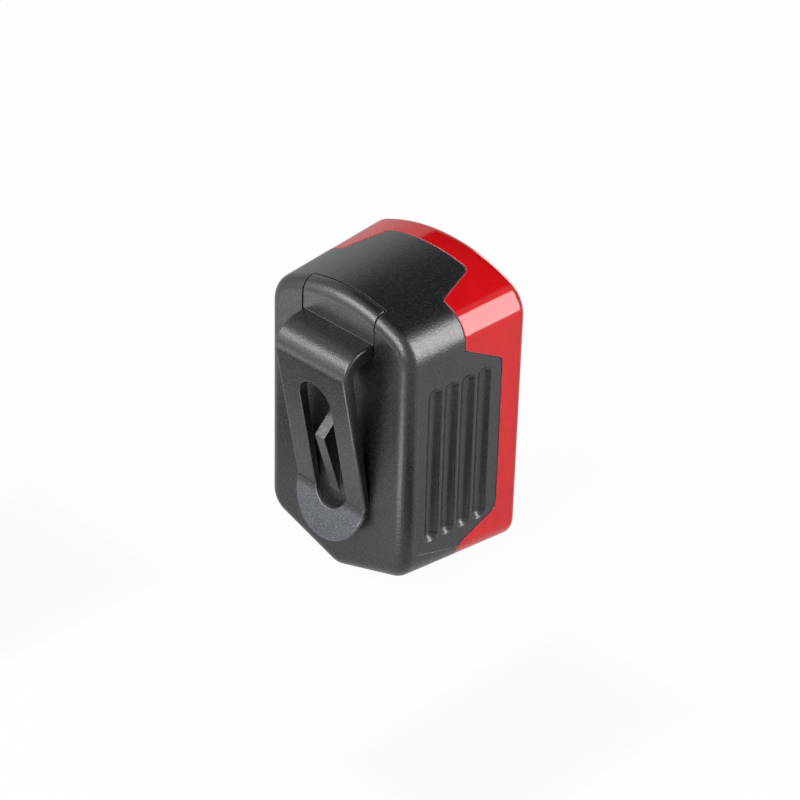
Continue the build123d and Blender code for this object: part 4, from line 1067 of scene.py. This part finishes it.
@dataclass
class CellPack(Assembly):
    """The cradle with two cells, their contacts, springs and screws."""

    cell_offset: float = 5.6 * MM
    cell_depth: float = 8.5 * MM
    cap_radius: float = 4.3 * MM
    band_height: float = 14.5 * MM
    boss_offset: float = 14.4 * MM
    # Its second colour is that of the painted glints in the grain.
    tray: MouldedFinish = MouldedFinish(
        "cradle_plastic", (0.055, 0.055, 0.06, 1.0), (0.09, 0.09, 0.095, 1.0), (0.14, 0.14, 0.145, 1.0),
        roughness=0.5, grain_size=0.2 * MM, grain_height=0.03 * MM, wear=0.4,
    )
    plate: MetalFinish = MetalFinish("contact_metal", (0.8, 0.78, 0.73, 1.0), 0.24)
    wire: MetalFinish = MetalFinish(
        "spring_metal", (0.76, 0.76, 0.75, 1.0), 0.2, lines=(0.2, 0.2, 1.0), line_scale=12000.0
    )

    def dress(self) -> None:
        """Finishes the cradle, the cells and their metal parts."""
        sleeve = CellFinish(
            "cell_sleeve", srgb(58, 66, 82), srgb(168, 172, 178), self.cell_offset, self.cell_depth,
            self.cap_radius, self.band_height,
        )
        heads = tuple((side * self.boss_offset, 0.0, 0.0) for side in (-1, 1))
        screws = RingedFinish("cradle_screw_steel", STEEL, heads, Axis.Y, 1.0, 0.26)
        contacts = ("bridge_contact", "positive_contact", "negative_contact", "contact_blades")
        self.coat(self.tray, "battery_cradle")
        self.coat(sleeve, "battery_left", "battery_right")
        self.coat(self.plate, *contacts)
        self.coat(self.wire, "spring_lower", "spring_upper")
        self.coat(screws, "cradle_screws")


@dataclass
class LampBoard(Assembly):
    """The circuit board with its emitters, chip, passive parts, switch and screws."""

    back_depth: float = 17.35 * MM
    front_depth: float = 18.95 * MM
    chip_height: float = 16.01 * MM
    chip_half: float = 2.5 * MM
    leg_pitch: float = 1.27 * MM
    leg_count: int = 4
    leg_size: Pair = (0.42 * MM, 0.16 * MM)
    leg_lift: float = 0.65 * MM
    leg_sunk: float = 0.15 * MM
    leg_path: tuple[Pair, ...] = ((0.0, 0.35 * MM), (-0.45 * MM, 0.28 * MM), (-0.05 * MM, 0.5 * MM))
    leg_round: float = 0.03 * MM
    capacitor_height: float = 11.01 * MM
    capacitor_middle: float = 1.05 * MM
    capacitor_offset: float = 12.5 * MM
    capacitor_lead: float = 1.5 * MM
    emitter_base: float = 0.8 * MM
    switch_middle: float = 2.9 * MM
    switch_lead: Pair = (3.1 * MM, 2.2 * MM)
    switch_cone: float = 0.95 * MM
    capacitor_cone: float = 0.7 * MM
    cone: tuple[Pair, ...] = (
        (0.1 * MM, 0.92), (0.16 * MM, 0.76), (0.22 * MM, 0.7), (0.3 * MM, 0.8), (0.3 * MM, 0.95),
        (0.04 * MM, 0.7),
    )
    pad_radius: float = 2.3 * MM
    posts: tuple[Pair, ...] = ((-13.0 * MM, 17.51 * MM), (13.0 * MM, 17.51 * MM), (0.0, -25.5 * MM))
    # Its second colour is that of the painted glints in the grain.
    chip: MouldedFinish = MouldedFinish(
        "chip_black", (0.016, 0.016, 0.017, 1.0), (0.05, 0.05, 0.05, 1.0), (0.06, 0.06, 0.06, 1.0),
        roughness=0.42, grain_size=0.09 * MM, grain_height=0.008 * MM, wear=0.3,
    )
    tin: MetalFinish = MetalFinish(
        "solder_tin", (0.74, 0.75, 0.77, 1.0), 0.22, lines=(1.0, 1.0, 1.0), line_scale=3000.0, tarnish=0.15
    )

    def dress(self) -> None:
        """Finishes the board's CAD parts."""
        heads = tuple((x, 0.0, z) for x, z in self.posts)
        board = BoardFinish("board_green", srgb(18, 92, 58), (0.83, 0.62, 0.3, 1.0), heads, self.pad_radius)
        passives = PartedFinish(
            "component_metal", srgb(52, 50, 52), (0.72, 0.72, 0.74, 1.0),
            (0.0, 0.0, self.capacitor_height), self.capacitor_middle, Axis.Z,
        )
        emitter = EmitterFinish(
            "emitter", srgb(236, 234, 226), srgb(238, 206, 96), self.front_depth + self.emitter_base
        )
        screws = RingedFinish("board_screw_steel", STEEL, heads, Axis.Y, 1.0, 0.26)
        switch = PartedFinish(
            "switch_black", srgb(34, 34, 36), (0.7, 0.7, 0.71, 1.0),
            (0.0, -self.front_depth, BUTTON_HEIGHT), self.switch_middle, Axis.X,
        )
        plunger = RingedFinish(
            "plunger_brown", srgb(112, 74, 46), ((0.0, 0.0, BUTTON_HEIGHT),), Axis.Y, 0.0, 0.38
        )
        self.coat(board, "circuit_board")
        self.coat(self.chip, "controller_chip")
        self.coat(passives, "board_components")
        self.coat(emitter, "led_centre", "led_left", "led_right")
        self.coat(screws, "board_screws")
        self.coat(switch, "tact_switch")
        self.coat(plunger, "switch_plunger")

    def legs(self, tin: Material) -> None:
        """Bends the chip's legs down to the board.

        Args:
            tin: Their finish.
        """
        bench = Bench("chip_legs")
        for side in (-1, 1):
            root = self.chip_height + side * (self.chip_half - self.leg_sunk)
            path = [Vector((0.0, drop, side * out)) for drop, out in self.leg_path]
            for index in range(self.leg_count):
                x = (index - (self.leg_count - 1) / 2) * self.leg_pitch
                bench.bar(Vector((x, self.leg_lift - self.back_depth, root)), self.leg_size, path)
        bench.finish(tin, Body.COVER, "component_metal", self.leg_round)

    def joints(self, tin: Material) -> None:
        """Raises solder cones round the switch's and capacitors' leads.

        Args:
            tin: Their finish.
        """
        lead_x, lead_z = self.switch_lead
        bench = Bench("switch_solder")
        for x in (-lead_x, lead_x):
            for z in (BUTTON_HEIGHT - lead_z, BUTTON_HEIGHT + lead_z):
                foot = Vector((x, -self.back_depth, z))
                bench.column(foot, Vector((0, 1, 0)), self.switch_cone, self.cone)
        bench.finish(tin, Body.COVER, "component_metal")
        bench = Bench("capacitor_solder")
        for side in (-1, 1):
            for lead in (-1, 1):
                x = side * self.capacitor_offset + lead * self.capacitor_lead
                foot = Vector((x, -self.front_depth, 0.0))
                bench.column(foot, Vector((0, -1, 0)), self.capacitor_cone, self.cone)
        bench.finish(tin, Body.COVER, "component_metal")

    def build(self) -> None:
        """Adds the legs and solder to the dressed board."""
        self.dress()
        tin = self.tin.material()
        self.legs(tin)
        self.joints(tin)


@dataclass
class PushButton(Assembly):
    """The red button in the cover's front, with the faint rings of its turned mould."""

    finish: RingedFinish = RingedFinish(
        "button_red", (0.42, 0.008, 0.012, 1.0), ((0.0, 0.0, BUTTON_HEIGHT),), Axis.Y, 0.0, 0.3,
        ring_pitch=0.55 * MM, ring_height=0.01 * MM, dust=0.08,
    )

    def dress(self) -> None:
        """Finishes the button."""
        self.coat(self.finish, "push_button")


def area_lamp(name: str, size: Pair, radiance: float, tint: Place = (1.0, 1.0, 1.0)) -> bpy.types.Object:
    """Makes a rectangular lamp that the camera doesn't see.

    Args:
        name: The lamp's name.
        size: Its width and height.
        radiance: How bright it looks, where 1 is white.
        tint: Its colour.

    Returns:
        The lamp, at the origin.
    """
    data = bpy.data.lights.new(name, "AREA")
    data.shape = "RECTANGLE"
    data.size, data.size_y = size
    data.energy = radiance * math.pi * size[0] * size[1]
    data.color = tint
    lamp = bpy.data.objects.new(name, data)
    lamp.visible_camera = False
    bpy.context.scene.collection.objects.link(lamp)
    return lamp


def flat_sheet(name: str, size: Pair, place: Matrix, material: Material) -> bpy.types.Object:
    """Makes a flat sheet for the studio.

    Args:
        name: The sheet's name.
        size: Its width and height.
        place: Where its middle goes and how it is turned.
        material: Its finish.

    Returns:
        The sheet.
    """
    sheet = bmesh.new()
    bmesh.ops.create_grid(sheet, x_segments=1, y_segments=1, size=0.5)
    bmesh.ops.scale(sheet, verts=sheet.verts, vec=(*size, 1.0))
    bmesh.ops.transform(sheet, verts=sheet.verts, matrix=place)
    mesh = bpy.data.meshes.new(name)
    sheet.to_mesh(mesh)
    sheet.free()
    mesh.materials.append(material)
    piece = bpy.data.objects.new(name, mesh)
    bpy.context.scene.collection.objects.link(piece)
    return piece


@dataclass(frozen=True)
class Softbox:
    """A rectangular light that hangs round the lamp and points at it."""

    name: str
    direction: Place
    away: float
    size: Pair
    radiance: float
    tint: Place = (1.0, 1.0, 1.0)

    def hang(self, target: Vector) -> None:
        """Hangs the light.

        Args:
            target: The point it looks at.
        """
        light = area_lamp(self.name, self.size, self.radiance, self.tint)
        way = Vector(self.direction).normalized()
        light.location = target + way * self.away
        light.rotation_euler = way.to_track_quat("Z", "Y").to_euler()


@dataclass(frozen=True)
class Flag:
    """A black card that keeps the white surroundings out of a reflection."""

    name: str
    direction: Place
    away: float
    size: Pair
    flat: bool = False

    def hang(self, target: Vector) -> None:
        """Hangs the card, or lays it flat.

        Args:
            target: The point it faces.
        """
        way = Vector(self.direction).normalized()
        place = Matrix.Translation(target + way * self.away)
        if not self.flat:
            place = place @ way.to_track_quat("Z", "Y").to_matrix().to_4x4()
        recipe = Recipe(self.name)
        felt = recipe.nodes.noise(recipe.place, 600.0, 3.0)
        black = recipe.nodes.blend(felt, (0.004, 0.004, 0.004, 1.0), (0.01, 0.01, 0.01, 1.0))
        recipe.feed(Base_Color=black, Roughness=0.95)
        piece = flat_sheet(self.name, self.size, place, recipe.material)
        piece.visible_camera = False
        piece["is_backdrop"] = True


@dataclass(frozen=True)
class BounceCard:
    """A bright card that lies on the ground and throws light up at the back edge."""

    name: str
    place: Pair
    size: Pair
    turn: float
    radiance: float

    def lay(self, lowest: float) -> None:
        """Lays the card down.

        Args:
            lowest: The lamp's lowest height.
        """
        light = area_lamp(self.name, self.size, self.radiance)
        light.location = (*self.place, lowest)
        light.rotation_euler = (math.pi, 0.0, math.radians(self.turn))


@dataclass
class Studio:
    """The camera, the soft lights and the white ground."""

    azimuth: float = 224.44
    elevation: float = 32.13
    roll: float = 1.56
    lens: float = 132.4
    distance: float = 588.5 * MM
    clip_range: Pair = (0.01, 20.0)
    target: Vector = field(default_factory=lambda: Vector((0.0, -14.0 * MM, 0.6 * MM)))
    sideways: float = 2.62 * MM
    upwards: float = 0.02 * MM
    ground_size: Pair = (6.0, 6.0)
    ground_drop: float = 0.4 * MM
    ground_shadow: float = 0.05
    ground_mirrored: float = 0.5
    sky_mirrored: float = 0.8
    fill: float = 0.12
    lights: tuple[Softbox, ...] = (
        Softbox("shoulder_box", (-0.797, -0.498, 0.342), 0.6, (0.21, 0.6), 12.0),
        Softbox("overhead_box", (0.16, 0.79, 0.60), 0.6, (0.62, 0.28), 7.6, (0.94, 0.97, 1.0)),
        Softbox("camera_box", (-0.26, 0.92, 0.32), 0.6, (0.2, 0.2), 12.0, (0.96, 0.98, 1.0)),
        Softbox("front_box", (0.22, -0.95, 0.22), 0.6, (0.28, 0.34), 5.0, (1.0, 0.99, 0.97)),
        Softbox("left_box", (0.66, 0.70, 0.26), 0.6, (0.26, 0.5), 1.3, (0.95, 0.98, 1.0)),
    )
    flags: tuple[Flag, ...] = (
        Flag("ceiling_flag", (0.17, -0.40, 0.90), 0.5, (0.5, 0.6)),
        Flag("floor_flag", (-62.0, 26.0, -33.7), 0.0752, (0.036, 0.062), flat=True),
        Flag("clip_flag", (45.0, 64.0, -33.5), 0.0851, (0.044, 0.044), flat=True),
    )
    bounces: tuple[BounceCard, ...] = (
        BounceCard("edge_card", (-0.016, 0.062), (0.026, 0.06), 8.0, 4.0),
        BounceCard("pad_card", (0.072, 0.098), (0.07, 0.09), 36.0, 1.6),
    )

    def camera(self) -> None:
        """Places the camera where the photograph was taken from."""
        around, above, tilt = (math.radians(angle) for angle in (self.azimuth, self.elevation, self.roll))
        out = math.cos(above)
        back = Vector((math.sin(around) * out, -math.cos(around) * out, math.sin(above)))
        level = Vector((math.cos(around), math.sin(around), 0.0))
        rise = back.cross(level)
        right = math.cos(tilt) * level + math.sin(tilt) * rise
        up = math.cos(tilt) * rise - math.sin(tilt) * level
        place = self.target + right * self.sideways + up * self.upwards + back * self.distance
        turn = Matrix((right, up, back)).transposed().to_4x4()
        data = bpy.data.cameras.new("camera")
        data.lens = self.lens
        data.clip_start, data.clip_end = self.clip_range
        camera = bpy.data.objects.new("camera", data)
        camera.matrix_world = Matrix.Translation(place) @ turn
        bpy.context.scene.collection.objects.link(camera)
        bpy.context.scene.camera = camera

    def shown_rays(self, nodes: Nodes, mirrored: float) -> Socket:
        """How much white a ray from the camera, through the lens or from a reflection sees.

        Args:
            nodes: The tree that asks.
            mirrored: How bright the white is in a reflection.

        Returns:
            The share of white, which is 0 for any other ray.
        """
        rays = nodes.add("ShaderNodeLightPath")
        seen = nodes.math("MAXIMUM", rays.outputs["Is Camera Ray"], rays.outputs["Is Transmission Ray"])
        return nodes.math("MAXIMUM", seen, nodes.times(rays.outputs["Is Glossy Ray"], mirrored))

    def ground(self, lowest: float) -> None:
        """Lays the white floor under the lamp.

        Args:
            lowest: The lamp's lowest height.
        """
        recipe = Recipe("floor_white")
        nodes = recipe.nodes
        paper = nodes.noise(recipe.place, 900.0, 3.0)
        recipe.feed(
            Base_Color=nodes.blend(paper, (0.6, 0.6, 0.6, 1.0), (0.64, 0.64, 0.64, 1.0)), Roughness=0.9
        )
        glow = nodes.add("ShaderNodeEmission")
        mix = nodes.add("ShaderNodeMixShader")
        lit = nodes.times(self.shown_rays(nodes, self.ground_mirrored), 1.0 - self.ground_shadow)
        nodes.join(lit, mix.inputs["Fac"])
        nodes.join(recipe.shader.outputs["BSDF"], mix.inputs[1])
        nodes.join(glow.outputs["Emission"], mix.inputs[2])
        below = nodes.add("ShaderNodeNewGeometry").outputs["Backfacing"]
        open_below = nodes.add("ShaderNodeMixShader")
        nodes.join(below, open_below.inputs["Fac"])
        nodes.join(mix.outputs[0], open_below.inputs[1])
        nodes.join(nodes.add("ShaderNodeBsdfTransparent").outputs["BSDF"], open_below.inputs[2])
        output = next(n for n in recipe.material.node_tree.nodes if n.type == "OUTPUT_MATERIAL")
        nodes.join(open_below.outputs[0], output.inputs["Surface"])
        place = Matrix.Translation((0.0, 0.0, lowest - self.ground_drop))
        floor = flat_sheet("floor", self.ground_size, place, recipe.material)
        floor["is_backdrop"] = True

    def world(self) -> None:
        """Lights everything softly and shows white behind the lamp."""
        world = bpy.data.worlds.new("studio")
        world.use_nodes = True
        bpy.context.scene.world = world
        nodes = Nodes(world.node_tree)
        background = world.node_tree.nodes["Background"]
        background.inputs["Color"].default_value = (1.0, 1.0, 1.0, 1.0)
        shown = nodes.times(self.shown_rays(nodes, self.sky_mirrored), 1.0 - self.fill)
        nodes.join(nodes.plus(shown, self.fill), background.inputs["Strength"])

    def build(self, lowest: float) -> None:
        """Sets up the whole studio.

        Args:
            lowest: The lamp's lowest height.
        """
        self.camera()
        self.world()
        self.ground(lowest)
        for light in self.lights:
            light.hang(self.target)
        for flag in self.flags:
            flag.hang(self.target)
        for card in self.bounces:
            card.lay(lowest)
        LOG.info("studio ready with %d lights", len(self.lights))


def main() -> None:
    """Loads the frame, dresses and details each sub-assembly, and lights the lamp."""
    logging.basicConfig(level=logging.INFO, format="%(name)s: %(message)s")
    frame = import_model()
    nodes = frame["nodes"]
    low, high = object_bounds()
    Studio().build(low.z)
    RearHousing(nodes).dress()
    BeltClip(nodes).dress()
    CellPack(nodes).dress()
    LampBoard(nodes).build()
    LensCover(nodes).dress()
    PushButton(nodes).dress()
    bpy.context.scene.view_settings.view_transform = "Standard"


if __name__ == "__main__":
    main()
